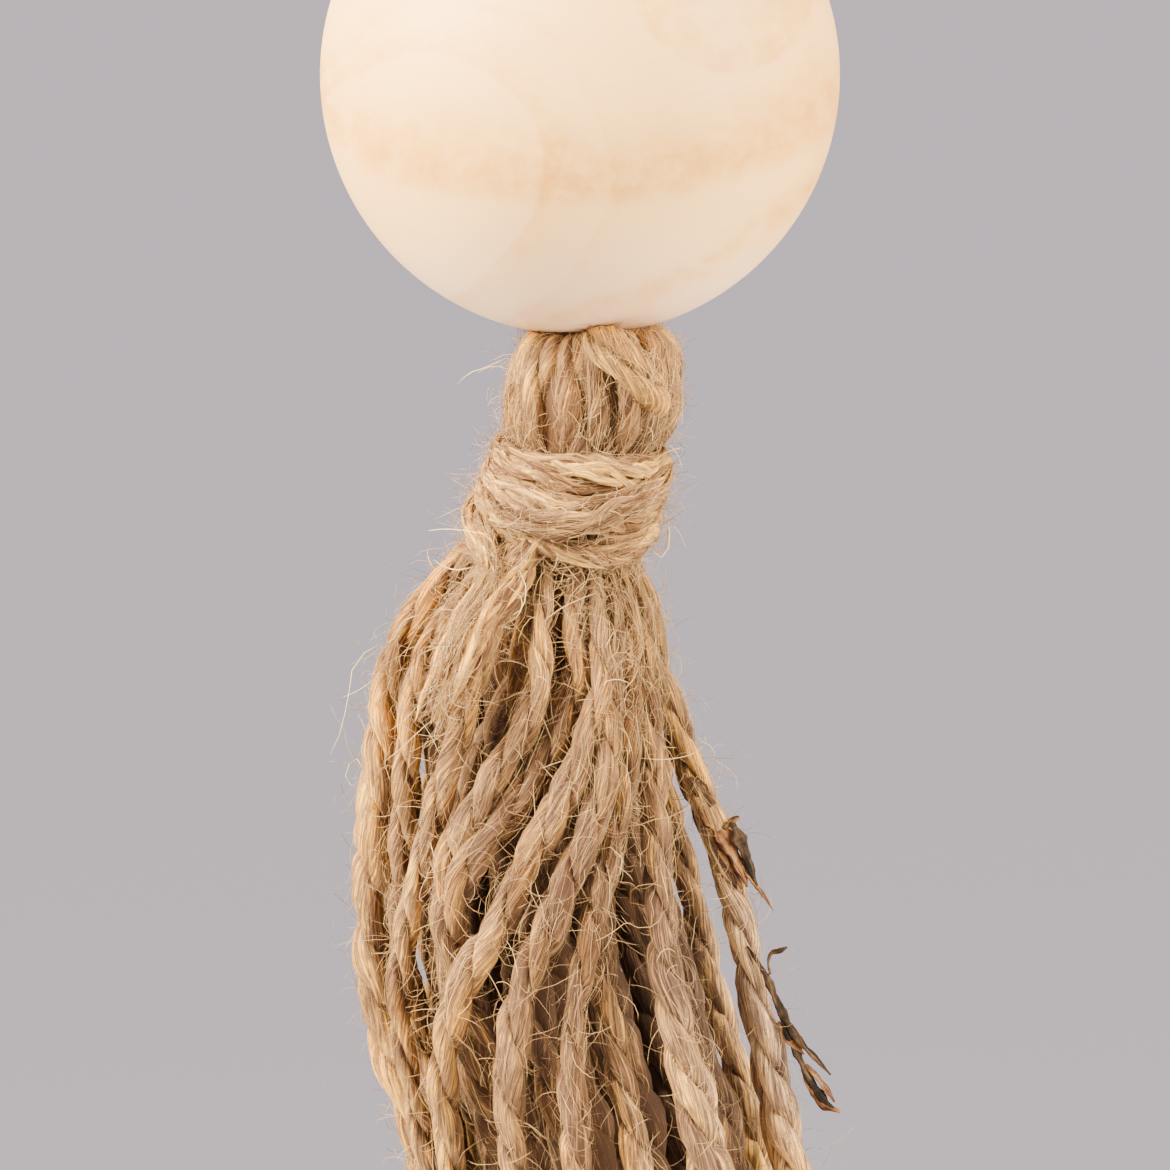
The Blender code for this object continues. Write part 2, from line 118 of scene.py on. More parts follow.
# The cut lengths: degrees round the skirt at five drops, 0 at the front and positive to the
# right, and how far out each lies at three.
ANGLE_DROPS = (18.0, 30.0, 40.0, 50.0, 65.0)
SPREAD_DROPS = (18.0, 40.0, 65.0)
LENGTHS = (
    # name, angle at each drop, spread at three drops
    ("left_edge", (-80, -88, -92, -96, -100), (1, 1, 1)),
    ("left_inner", (-52, -62, -74, -84, -92), (1, 0.85, 0.85)),
    ("left_front", (-24, -29, -48, -60, -78), (1, 1, 1)),
    ("front_a", (-6, -13, -34, -46, -50), (1, 0.9, 0.62)),
    ("front_b", (10, -4, -24, -34, -40), (1, 0.85, 0.5)),
    ("front_c", (26, 8, -18, -40, -63), (1, 1, 1)),
    ("front_d", (44, 36, 2, -16, -35), (1, 1, 1)),
    ("front_e", (58, 46, 17, 2, -12), (1, 1, 1)),
    ("right_front", (76, 56, 36, 34, 31), (1, 1, 1)),
    ("right_edge", (92, 88, 76, 77, 86), (1, 1, 1)),
    ("right_inner", (70, 62, 58, 56, 58), (0.6, 0.6, 0.72)),
    ("middle_a", (36, 20, -8, -14, -22), (0.6, 0.75, 0.62)),
    ("middle_b", (14, 22, 16, 13, 12), (0.6, 0.6, 0.95)),
    ("middle_c", (-40, -42, -62, -70, -72), (0.6, 0.6, 0.62)),
    ("middle_d", (100, 100, 100, 100, 98), (0.6, 0.6, 0.7)),
    ("back_a", (110, 108, 106, 106, 108), (1, 1, 1)),
    ("back_b", (128, 128, 127, 126, 126), (1, 1, 1)),
    ("back_c", (146, 147, 146, 147, 146), (1, 1, 0.95)),
    ("back_d", (164, 166, 167, 166, 167), (1, 1, 1)),
    ("back_e", (182, 184, 186, 187, 186), (1, 1, 1)),
    ("back_f", (200, 202, 204, 205, 206), (1, 1, 0.95)),
    ("back_g", (218, 220, 222, 223, 225), (1, 1, 1)),
    ("back_h", (236, 238, 240, 241, 243), (1, 1, 1)),
    ("back_i", (254, 254, 252, 250, 252), (1, 1, 0.95)),
    ("inner_a", (140, 140, 138, 138, 138), (0.6, 0.6, 0.62)),
    ("inner_b", (180, 180, 178, 176, 176), (0.6, 0.6, 0.6)),
    ("inner_c", (222, 220, 218, 216, 216), (0.6, 0.6, 0.62)),
    ("inner_d", (262, 258, 256, 256, 258), (0.6, 0.6, 0.6)),
    ("core_a", (0, 0, -4, -8, -10), (0.22, 0.25, 0.22)),
    ("core_b", (120, 120, 118, 116, 114), (0.22, 0.25, 0.25)),
    ("core_c", (240, 240, 242, 244, 246), (0.22, 0.25, 0.25)),
)
LENGTH_LEVELS = (
    15, 16.5, 18, 19.5, 21, 23, 25, 27.5, 30, 33, 36, 39, 42, 45, 48, 51, 54, 57, 60, 63, 66, 70, 75,
    81, 88, 96, 104,
)
TRIM_SPREAD = 2.2               # how unevenly the ends are trimmed, and from which drop it tells
TRIM_FROM = 60.0
SETTLE_ROUNDS = 240
LAST_ROUNDS = 40                # the rounds at the end that only push apart

WRAP_HALF_THICK = 0.95
WRAP_MOST_HALF_HIGH = 1.45
WRAP_FIRST_DROP = 10.0
WRAP_PITCH = 2.2
WRAP_START_TURN = -0.45
WRAP_END_TURN = 2.86
WRAP_LIFT = (0.4, 0.6)          # how far the first wrap rises at the right, and each later one more
WRAP_STEPS_PER_TURN = 20
WRAP_STRANDS = 24
CROSSING_STRANDS = 12
WRAP_TWIST = 30.0               # the strands of a wrap wind round once in this many mm
WRAP_ENDS = (9.5, 13.0)         # how far before the loose end they come to nothing
CROSSING_ROWS = 60
CROSSING_TURNS = (-0.17, 0.26)  # where the crossing wrap runs from and to, in turns from the front
CROSSING_DROP = 14.4
CROSSING_RISE = 4.9
CROSSING_THICK = 0.6
CROSSING_TWIST = 60.0
STRAND_PLACES = (0.30, 0.74)    # how far out in a lock its inner strands lie, and its outer ones
STRAND_HALF_HIGH = 1.2          # the lock whose strands are round
GROOVE_FADE = 0.30              # square mm
GROOVE_FRONT_Y = -4.0
LOCK_FINE = 1.25
LOCK_SHEAR = 0.05
LOCK_FIBRES, LOCK_ROWS = 54, 34
LOOSE_END = (
    # drop, angle, clear of the skirt, half_width
    (17, -38, 0.2, 0.95), (18.3, -36, 0.2, 1.15), (19.8, -36, 0.1, 1.25), (21.8, -33, 0.1, 1.2),
    (24.2, -29, 0.1, 1), (26.4, -28.5, 0.2, 0.75), (28.2, -29, 0.3, 0.45),
)

LEANS = {
    # name: how far it leans to the right about half way down
    "right_edge": 0.6, "back_a": 0.75, "back_b": -0.3, "middle_b": 0.8,
}
SWAY_DROPS = (18.0, 20.5, 25.0, 30.0, 35.0, 40.0, 45.0, 50.0, 57.0)
SWAYS = {
    # name: how far it lies to the right of an even fan at each drop, and how far forward
    "left_front": ((0, 0.6, 1.6, 1.55, 0.9, 0.5, 0.1, 0, 0), (0, 0.2, 0.4, 0.3, 0, 0, 0, 0, 0)),
    "middle_c": ((0.6, 2, 4, 2.4, 0.3, 0, 0, 0, 0), (0, 0.8, 2, 1.6, 0.4, 0, 0, 0, 0)),
    "front_a": ((0, 1.2, 3.8, 3.3, 1.2, -0.7, -0.5, 0, 0), (0, 0.2, 0.6, 0.6, 0.4, 0, 0, 0, 0)),
    "front_b": ((0.5, 1.6, 4, 3.5, 1.2, -2.5, -3.4, -2.6, -1), (0, 0, 0.3, 0.8, 1.8, 2.4, 1.2, 0, 0)),
    "front_c": ((0.5, 1.2, 3.9, 4.1, 3.6, 2.5, 2.1, 0.85, 0), (0, 0, 0.3, 0.4, 0.4, 0.3, 0.2, 0, 0)),
    "front_d": ((0.2, 0.5, 1.3, 1.9, 1.9, 1.4, 0.8, 0.2, 0), (0, 0, 0.3, 0.6, 0.6, 0.4, 0.2, 0, 0)),
    "front_e": ((0, 0.2, 0.5, 0.8, 0.6, 0.5, 0.3, 0, 0), (0, 0, 0, 0, 0, 0, 0, 0, 0)),
}
SPUN_DROPS = (25.0, 40.0, 51.0, 60.0)
# the paleness is partly each length's own; the lengths seen between and behind the front ones are darker as
# painted shade, and back_a and back_b are paler as painted light
SPUN = {
    # name: how thickly it is spun at four drops, how much paler it is at the same drops
    "left_edge": ((1.1, 1.15, 1, 0.95), (0.02, 0, 0.02, 0.05)),
    "left_inner": ((0.9, 0.85, 0.85, 0.9), (0, -0.1, -0.12, -0.05)),
    "left_front": ((0.95, 0.9, 0.78, 0.8), (0.05, 0.06, 0.02, 0)),
    "front_a": ((0.95, 0.95, 1, 1), (0.05, 0.04, -0.1, -0.15)),
    "front_b": ((0.95, 0.98, 0.98, 1), (0.03, 0.1, 0, -0.15)),
    "front_c": ((0.85, 0.98, 1.02, 0.85), (0.08, 0.11, 0.16, 0.14)),
    "front_d": ((0.85, 0.95, 1.02, 0.92), (0.05, 0.11, 0.13, 0.12)),
    "front_e": ((0.85, 0.85, 0.68, 0.85), (0, 0.05, 0.06, 0.04)),
    "right_front": ((0.85, 0.95, 1.1, 1.08), (-0.02, 0.02, 0.08, 0.08)),
    "right_edge": ((0.95, 0.9, 0.85, 1.12), (0.03, 0.1, 0.1, 0.08)),
    "right_inner": ((0.9, 0.9, 0.95, 1), (-0.28, -0.2, 0, 0.04)),
    "middle_a": ((0.9, 0.95, 1, 1), (-0.22, -0.14, -0.2, -0.22)),
    "middle_b": ((0.9, 0.8, 0.82, 0.88), (-0.28, -0.18, -0.02, 0.02)),
    "middle_c": ((0.95, 0.95, 1, 1), (-0.02, -0.16, -0.26, -0.26)),
    "middle_d": ((0.9, 0.95, 1, 1), (-0.28, -0.14, 0, 0.02)),
    "back_a": ((0.9, 0.84, 0.9, 1), (0.04, 0.08, 0.12, 0.12)),
    "back_b": ((0.9, 0.84, 0.9, 1), (0.02, 0.06, 0.1, 0.1)),
}
# painted shade: every length inside the skirt is darker by the second value
SPUN_INSIDE = (1.22, -0.22)     # the same two for every length inside the skirt
LIGHT_AND_SHADE_ACROSS = (
    # x across the skirt, how much paler (or darker, below 0) the lengths there are: painted shade across the
    # middle, a little painted light at the edges
    (-18, 0.03), (-12, -0.03), (-8, -0.12), (0, -0.18), (6, -0.16), (10, -0.07), (14, 0.02), (20, 0.04),
)
FRONT_ROWS, FRONT_SIDES = 160, 12                  # how finely the lengths in front are drawn
BACK_ROWS, BACK_SIDES = 118, 9

# Where things show from the front, in the picture that the camera frames.
PICTURE_WIDTH = 1170.0
PIXELS_PER_MM = 12.9
PICTURE_MIDDLE = 585.0
BEAD_MIDDLE_ACROSS = 580.0
BEAD_LOWEST_DOWN = 335.0

WRAP_GROOVE_SHADES = (
    # where a painted shade line for a groove between wraps starts and ends, across and down, and how dark it
    # is
    ((505, 503), (562, 535), 0.75), ((566, 528), (594, 532), 0.75), ((505, 451), (560, 468), 0.25),
    ((600, 512), (640, 496), 0.35),
)
CROSSING_FOLD = (
    # across, down, depth y of the thick fold that crosses the head at the upper right
    (593, 326, -3.4), (602, 336, -5.6), (616, 350, -6.9), (630, 364, -7), (642, 376, -6.4),
    (650, 386, -5), (653, 396, -3), (653, 408, -1.2),
)

LOOSE_LOCK = (
    # across, down, half width: how the loose end's own fibres show from the front
    (533, 534, 13), (522, 547, 17), (511, 562, 21), (501, 578, 25), (484, 597, 24), (471, 618, 22),
    (462, 642, 21), (452, 668, 20), (442, 690, 18), (434, 710, 16),
)

WOOD_RINGS = (
    # the ring's middle across and down, its radius, how far it fades inwards and outwards, how
    # much it darkens
    (570, -309, 495, 36, 17, 0.46), (570, -309, 452, 24, 20, 0.08), (412, 178, 128, 3, 30, 0.24),
    (440, 176, 165, 3, 12, 0.14), (722, -16, 90, 60, 4, 0.22), (720, -60, 60, 80, 110, 0.16),
    (300, -400, 769, 9, 18, 0.34), (330, -380, 725, 14, 10, 0.1),
)

STRAYS = (
    # thickness in mm, tone, then (across, down, depth y) along the fibre
    (0.035, 0.95, ((331, 752, -2), (338, 738, -2.5), (344, 719, -3), (350, 690, -3), (357, 657, -3),
                   (384, 640, -2))),
    (0.035, 0.95, ((430, 527, -3.5), (446, 525, -3.8), (468, 526, -4.6), (492, 529, -6))),
    (0.055, 0.85, ((435, 556, -3.5), (444, 561, -4.5), (458, 564, -5.5), (476, 560, -6.2))),
    (0.1, 0.05, ((463, 486, -1), (473, 490, -2), (486, 494, -3.4), (500, 503, -5))),
    (0.05, 0.9, ((646, 500, -3.2), (660, 507, -1.8), (668, 524, -1.4), (669, 543, -1.6), (662, 555, -2.4),
                 (654, 548, -3.6))),
    (0.07, 0.3, ((650, 540, -3.2), (660, 552, -2.4), (666, 544, -1.8), (668, 528, -1.6), (664, 512, -2),
                 (655, 505, -3.2))),
    (0.03, 0.8, ((672, 523, -1), (679, 532, -0.6), (686, 548, -0.4))),
    (0.03, 0.85, ((458, 383, -1), (470, 372, -1.4), (486, 366, -2), (507, 356, -3))),
    (0.03, 0.7, ((478, 372, -1), (489, 366, -1.6), (500, 365, -2.2), (512, 368, -3.2))),
    (0.03, 0.9, ((683, 447, -0.5), (672, 448, -1.8), (660, 452, -3))),
    (0.03, 0.9, ((682, 470, -0.5), (678, 455, -1), (668, 441, -2.6))),
    (0.035, 0.85, ((511, 578, -8.6), (523, 588, -9.2), (521, 602, -9.4), (512, 611, -9))),
    (0.035, 0.9, ((520, 560, -8.4), (527, 577, -9.2), (524, 596, -9.6), (514, 604, -9.4))),
    (0.03, 0.8, ((543, 612, -9), (560, 598, -9.6), (581, 588, -9.4), (596, 583, -8.8))),
    (0.04, 0.85, ((420, 610, -4), (404, 618, -3.2), (396, 634, -2.8), (388, 640, -2.4))),
    (0.03, 0.85, ((388, 750, -8), (404, 736, -9.2), (424, 716, -10), (436, 706, -10.2))),
    (0.03, 0.75, ((820, 1156, 0), (833, 1152, 0.2), (845, 1144, 0.4), (856, 1134, 0.6))),
    (0.03, 0.85, ((640, 745, -9.6), (663, 748, -8.6), (690, 747, -6), (703, 741, -4))),
    (0.03, 0.8, ((344, 950, -1), (352, 938, -1.4), (358, 922, -1.8), (356, 900, -2))),
    (0.03, 0.8, ((346, 885, -1), (352, 868, -1.4), (350, 850, -1.8), (358, 830, -2))),
)

BARK = (
    # red-brown (1) or grey (0), then (across, down, half width in mm) along each flake
    (0.25, ((689, 776, 0.2), (697, 784, 0.55), (706, 794, 0.6), (713, 803, 0.25))),
    (0.85, ((700, 800, 0.3), (708, 812, 0.7), (720, 829, 0.75), (733, 850, 0.6), (743, 872, 0.35),
            (747, 884, 0.1))),
    (0.1, ((731, 819, 0.25), (738, 833, 0.5), (745, 850, 0.48), (751, 868, 0.28), (757, 883, 0.1))),
    (0.7, ((742, 862, 0.15), (752, 878, 0.22), (763, 892, 0.14), (773, 908, 0.05))),
    (0.45, ((724, 826, 0.22), (732, 818, 0.22), (739, 814, 0.12))),
    (0.6, ((705, 822, 0.12), (716, 842, 0.25), (731, 866, 0.25), (742, 886, 0.1))),
    (0.15, ((747, 943, 0.1), (758, 960, 0.18), (768, 978, 0.3), (780, 1006, 0.36), (797, 1036, 0.32),
            (815, 1056, 0.22), (831, 1074, 0.1))),
    (0.05, ((781, 1014, 0.2), (791, 1038, 0.36), (801, 1060, 0.3), (812, 1082, 0.36), (826, 1101, 0.28),
            (834, 1108, 0.1))),
    (0.9, ((802, 1068, 0.12), (810, 1086, 0.26), (822, 1103, 0.36), (841, 1112, 0.14))),
    (0.9, ((778, 1020, 0.15), (788, 1036, 0.34), (798, 1046, 0.28), (804, 1053, 0.1))),
    (0.55, ((806, 1064, 0.15), (817, 1076, 0.26), (829, 1092, 0.2), (835, 1102, 0.1))),
    (0.2, ((770, 972, 0.1), (768, 960, 0.14), (771, 950, 0.14), (779, 948, 0.24), (787, 944, 0.1))),
)

BARK_ROWS, BARK_SIDES = 40, 8
BARK_HALF_THICK = 0.11

TIE_ROWS, TIE_SIDES = 110, 9
TIE_TWINE, TIE_LAY = 2.35, 9.0
TIE_APART = 1.15                # from the bore's middle to that of either twine
TIE_PAIR_LAY = 14.0             # the two wind round each other once in this many mm
KNOT_RISE = 1.9
KNOT_SIZE = 1.08
KNOT_TWINE = 2.75
TUFT_TWINE, TUFT_LAY = 1.5, 8.0
TUFT_SPLAY = (0.8, 1.0, 1.25, 1.5)

HAIR_HALF = (0.010, 0.024)      # half the thickness of loose fibres, from the finest to the thickest
DOWN_HALF = (0.008, 0.015)      # the same for the shortest
HAIR_OFF_BALL = 0.06
HAIR_BELOW_TOP = 0.05
STRAY_POINTS = 7
HEAD_SHOWN = 0.78               # the share of the folds that lies above the binding

# ---------------------------------------------------------------- colours

WOOD_STOPS = ((0.15, "#FBCF8E"), (0.45, "#F6C47C"), (0.70, "#EDB45E"), (1.00, "#DEA14A"))
# painted light: paler, greyer colours for the ball's foot, standing in for the cool light thrown up from
# below
FOOT_LIGHT_STOPS = ((0.15, "#FDDEBD"), (0.45, "#F8D2A8"), (0.70, "#EEC08A"), (1.00, "#DFA868"))
JUTE_STOPS = ((0.18, "#422D21"), (0.35, "#5D4535"), (0.50, "#735740"), (0.64, "#8D6E4B"),
              (0.79, "#B38E4B"), (0.96, "#F2B952"))
PALE_STOPS = ((0.18, "#4E3422"), (0.35, "#74553D"), (0.50, "#88694C"), (0.64, "#9B7C53"),
              (0.79, "#BB9955"), (0.96, "#EEBF64"))
# painted shade: the colours of the dark core that shows between the head's folds
DARK_STOPS = ((0.0, "#2C1C14"), (1.0, "#5C4230"))
TINT_STOPS = ((0.05, "#F2EAF4"), (0.32, "#FEF8F2"), (0.50, "#FFF7E8"), (0.68, "#FFEFCC"), (0.90, "#FFE4AA"))
HAIR_STOPS = ((0.0, "#6B4C33"), (0.35, "#8E6E4A"), (0.75, "#B8976A"), (1.0, "#F0D6A4"))
GREY_BARK_STOPS = ((0.32, "#0E0C0A"), (0.47, "#1E1914"), (0.58, "#352B22"), (0.75, "#5C5144"))
RED_BARK_STOPS = ((0.32, "#2E1A0F"), (0.46, "#66412A"), (0.57, "#8F653F"), (0.75, "#AB845A"))

# A patch's middle and its reach in metres, and how much more golden the jute is there.
GOLDEN_PATCH = ((-0.0125, -0.004, -0.0715), 0.013, 0.35)
# painted light: the skirt's right edge is made paler and greyer, standing in for the light and the
# backdrop's bounce that reach it
EDGE_LIGHT_PATCH = ((0.0180, -0.001, -0.1010), 0.022, -0.80)
PATCH_CORE = 0.002
RING_BEND = 2.0                 # mm that the wood's growth wanders to either side

# ---------------------------------------------------------------- stage

CAMERA_RISE = 5.0
CAMERA_LENS = 200.0
SENSOR = 36.0
FLOOR_Z = -900.0
FLOOR_RADIUS = 60000.0
BACKDROP = "#DCD1D8"
FLOOR_WHITE = "#FFFFFF"
LIGHT_COLOUR = "#FFEDC8"


# ---------------------------------------------------------------- arrays and curves

def column(table, index):
    """One column of a table as an array."""
    return np.array([row[index] for row in table], dtype=float)


def read(table, index, drop):
    """A table's column, read at a drop by straight lines between its rows."""
    return np.interp(drop, column(table, 0), column(table, index))


def unit(vectors):
    """Vectors divided by their lengths."""
    return vectors / np.maximum(np.linalg.norm(vectors, axis=-1, keepdims=True), 1e-9)


def square_to(vectors, along):
    """Unit vectors square to the directions along: the vectors less their share along them."""
    return unit(vectors - along * np.sum(vectors * along, axis=-1, keepdims=True))


def turns_round(count):
    """Angles once round, at even steps from 0."""
    return np.linspace(0.0, FULL_TURN, count, endpoint=False)


def arc_length(path):
    """Distance along each path (..., points, 3) from its first point."""
    steps = np.linalg.norm(np.diff(path, axis=-2), axis=-1)
    return np.concatenate([np.zeros_like(steps[..., :1]), np.cumsum(steps, axis=-1)], axis=-1)


def smooth_path(points, spacing):
    """A Catmull-Rom curve through the points, resampled at even steps of about the spacing.

    Between two points the curve is the cubic that starts and ends along the chords of their
    neighbours.
    """
    padded = np.concatenate([2 * points[:1] - points[1:2], points, 2 * points[-1:] - points[-2:-1]])
    before, start, end, after = padded[:-3], padded[1:-2], padded[2:-1], padded[3:]
    t = np.linspace(0.0, 1.0, 12, endpoint=False)[None, :, None]
    curve = 0.5 * (2 * start[:, None] + (end - before)[:, None] * t
                   + (2 * before - 5 * start + 4 * end - after)[:, None] * t ** 2
                   + (3 * start - before - 3 * end + after)[:, None] * t ** 3)
    curve = np.concatenate([curve.reshape(-1, points.shape[1]), points[-1:]])
    travelled = arc_length(curve[:, :3])
    count = max(int(travelled[-1] / spacing), 3) + 1
    wanted = np.linspace(0.0, travelled[-1], count)
    return np.stack([np.interp(wanted, travelled, values) for values in curve.T], axis=-1)


def same_rows(path, count):
    """A path resampled to a count of points."""
    at = np.linspace(0.0, 1.0, len(path))
    wanted = np.linspace(0.0, 1.0, count)
    return np.stack([np.interp(wanted, at, values) for values in path.T], axis=-1)


def resample_rows(rings, count):
    """Rings or tones picked at an even count of rows, the ends kept."""
    rows = np.linspace(0, rings.shape[1] - 1, count)
    low = np.floor(rows).astype(int)
    high = np.minimum(low + 1, rings.shape[1] - 1)
    part = (rows - low).reshape((1, -1) + (1,) * (rings.ndim - 2))
    return rings[:, low] * (1.0 - part) + rings[:, high] * part


def ripple(along, rng, longest, shape=()):
    """A smooth wandering value of about -1 to 1: three sines of unlike lengths and phases."""
    value = 0.0
    for share in (1.0, 0.53, 0.27):
        phase = rng.uniform(0.0, FULL_TURN, shape + (1,))
        stretch = rng.uniform(0.8, 1.25, shape + (1,))
        value = value + share * np.sin(FULL_TURN * along / (longest * share * stretch) + phase)
    return value / 1.5


# ---------------------------------------------------------------- places

def place(drop, across, front):
    """World points from a drop and the offsets from the tassel's own leaning, tilted axis."""
    share = read(TILT_FORM, 1, drop)
    lowered = drop + share * (TILT_SIDE * across + TILT_FRONT * front)
    return np.stack([read(AXIS_FORM, 1, drop) + across, -front, DROP_ZERO_Z - lowered], axis=-1)


def place_round(drop, radius, angle):
    """World points at a radius and an angle round that axis, 0 at the front, positive to the right."""
    return place(drop, radius * np.sin(angle), radius * np.cos(angle))


def outward_at(angle):
    """Level directions away from the axis at such angles."""
    return np.stack([np.sin(angle), -np.cos(angle), 0.0 * angle], axis=-1)


def screen_point(across_px, down_px, y):
    """A world point from where it shows from the front, and its depth y."""
    return ((across_px - BEAD_MIDDLE_ACROSS) / PIXELS_PER_MM, y,
            DROP_ZERO_Z - (down_px - BEAD_LOWEST_DOWN) / PIXELS_PER_MM)


def drop_of(points):
    """How far below the bead's lowest point each point lies."""
    return DROP_ZERO_Z - points[..., 2]


def neck_radius(drop):
    """The outline of head and skirt together at a drop."""
    return np.maximum(read(HEAD_FORM, 1, drop), read(SKIRT_FORM, 1, drop))


def under_ball(points, clear):
    """Points pressed down to stay under the ball's surface, or out of it."""
    off_axis = np.minimum(np.hypot(points[..., 0], points[..., 1]), BEAD_RADIUS)
    underside = BEAD_Z - np.sqrt(BEAD_RADIUS ** 2 - off_axis ** 2) - clear
    lowered = points.copy()
    lowered[..., 2] = np.minimum(points[..., 2], underside)
    return lowered


def outside_ball(points, clear):
    """Points inside the ball moved out to its surface."""
    centre = np.array([0.0, 0.0, BEAD_Z])
    away = points - centre
    far = np.linalg.norm(away, axis=-1, keepdims=True)
    return centre + away * np.maximum(1.0, (BEAD_RADIUS + clear) / np.maximum(far, 1e-6))


# ---------------------------------------------------------------- meshes

def tube_layout(rows, sides):
    """The faces of one closed tube, as its corners in order.

    Gives each corner's point, row and share of a turn, and how many corners each face has. The
    points run row by row, then come the middles of the two end caps.
    """
    row, side = np.meshgrid(np.arange(rows - 1), np.arange(sides), indexing="ij")
    here = (row * sides + side).ravel()
    beside = (row * sides + (side + 1) % sides).ravel()
    quads = np.stack([here, here + sides, beside + sides, beside], axis=-1)
    step = np.arange(sides)
    turned = (step + 1) % sides
    last = (rows - 1) * sides
    caps = np.concatenate([
        np.stack([np.full(sides, rows * sides), step, turned], axis=-1),
        np.stack([np.full(sides, rows * sides + 1), last + turned, last + step], axis=-1)])
    corner_row = np.concatenate([np.stack([row, row + 1, row + 1, row], axis=-1).ravel(),
                                 np.zeros(3 * sides, int), np.full(3 * sides, rows - 1)])
    corner_turn = np.concatenate([np.stack([side, side, side + 1, side + 1], axis=-1).ravel(),
                                  np.stack([step + 0.5, step, step + 1], axis=-1).ravel(),
                                  np.stack([step + 0.5, step + 1, step], axis=-1).ravel()]) / sides
    corners = np.concatenate([quads.ravel(), caps.ravel()])
    return corners, corner_row, corner_turn, np.repeat([4, 3], [len(quads), len(caps)])


def tube_mesh(name, rings, tone, material, shear=0.0, tips=None):
    """One mesh of many closed tubes.

    rings is (tubes, rows, sides, 3); each tube is closed by a point at each end, the end ring's
    middle or the tip given in tips (tubes, 2, 3). tone is a value for each row or each point, kept
    as an attribute. The UV map holds millimetres round the tube and along it, each tube shifted so
    that no two read the same fibres; shear is how far the fibres drift round for each millimetre
    along.
    """
    tubes, rows, sides = rings.shape[:3]
    corners, corner_row, corner_turn, counts = tube_layout(rows, sides)
    counts = np.tile(counts, tubes)
    ends = rings[:, [0, -1]].mean(axis=2) if tips is None else tips
    points = np.concatenate([rings.reshape(tubes, -1, 3), ends], axis=1)
    loops = corners + (np.arange(tubes) * points.shape[1])[:, None]
    around = np.linalg.norm(np.diff(np.concatenate([rings, rings[:, :, :1]], axis=2), axis=2), axis=-1)
    around = around.mean(axis=(1, 2)) * sides
    shift = (np.arange(tubes) * UV_STEP) % UV_WRAP
    v = arc_length(rings.mean(axis=2))[:, corner_row]
    u = around[:, None] * corner_turn + shift[:, None] + shear * v
    mesh = bpy.data.meshes.new(name)
    mesh.vertices.add(tubes * points.shape[1])
    mesh.vertices.foreach_set("co", (points * MM).astype(np.float32).ravel())
    mesh.loops.add(loops.size)
    mesh.loops.foreach_set("vertex_index", loops.astype(np.int32).ravel())
    mesh.polygons.add(len(counts))
    mesh.polygons.foreach_set("loop_start", (np.cumsum(counts) - counts).astype(np.int32))
    mesh.uv_layers.new(name="fibre")
    mesh.uv_layers["fibre"].data.foreach_set("uv", np.stack([u, v], axis=-1).astype(np.float32).ravel())
    tone = np.broadcast_to(np.asarray(tone)[..., None] if np.ndim(tone) == 2 else tone, (tubes, rows, sides))
    tones = np.concatenate([tone.reshape(tubes, -1), tone[:, 0, :1], tone[:, -1, :1]], axis=1)
    mesh.attributes.new("tone", "FLOAT", "POINT").data.foreach_set("value", tones.astype(np.float32).ravel())
    mesh.update(calc_edges=True)
    mesh.validate()
    mesh.shade_smooth()
    return finish_piece(name, mesh, material)


def link_new(name, data):
    """A new object of some data, linked to the scene."""
    thing = bpy.data.objects.new(name, data)
    bpy.context.scene.collection.objects.link(thing)
    return thing


def finish_piece(name, mesh, material):
    """Links a mesh as a piece of the root body, with its material."""
    mesh.materials.append(material)
    piece = link_new(name, mesh)
    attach(piece, "root")
    return piece


def rings_round(path, outward, reach_out, reach_side):
    """Rings along paths: at each point an ellipse-like outline of the given reaches.

    path and outward are (tubes, rows, 3); the reaches are (tubes, rows, sides) distances at even
    steps of turn, starting on the inner side so that the seam lies hidden.
    """
    along = unit(np.gradient(path, axis=1))
    outward = square_to(outward, along)
    sideways = np.cross(outward, along)
    turn = np.pi + turns_round(reach_out.shape[-1])
    return (path[:, :, None]
            + (reach_out * np.cos(turn))[..., None] * outward[:, :, None]
            - (reach_side * np.sin(turn))[..., None] * sideways[:, :, None])


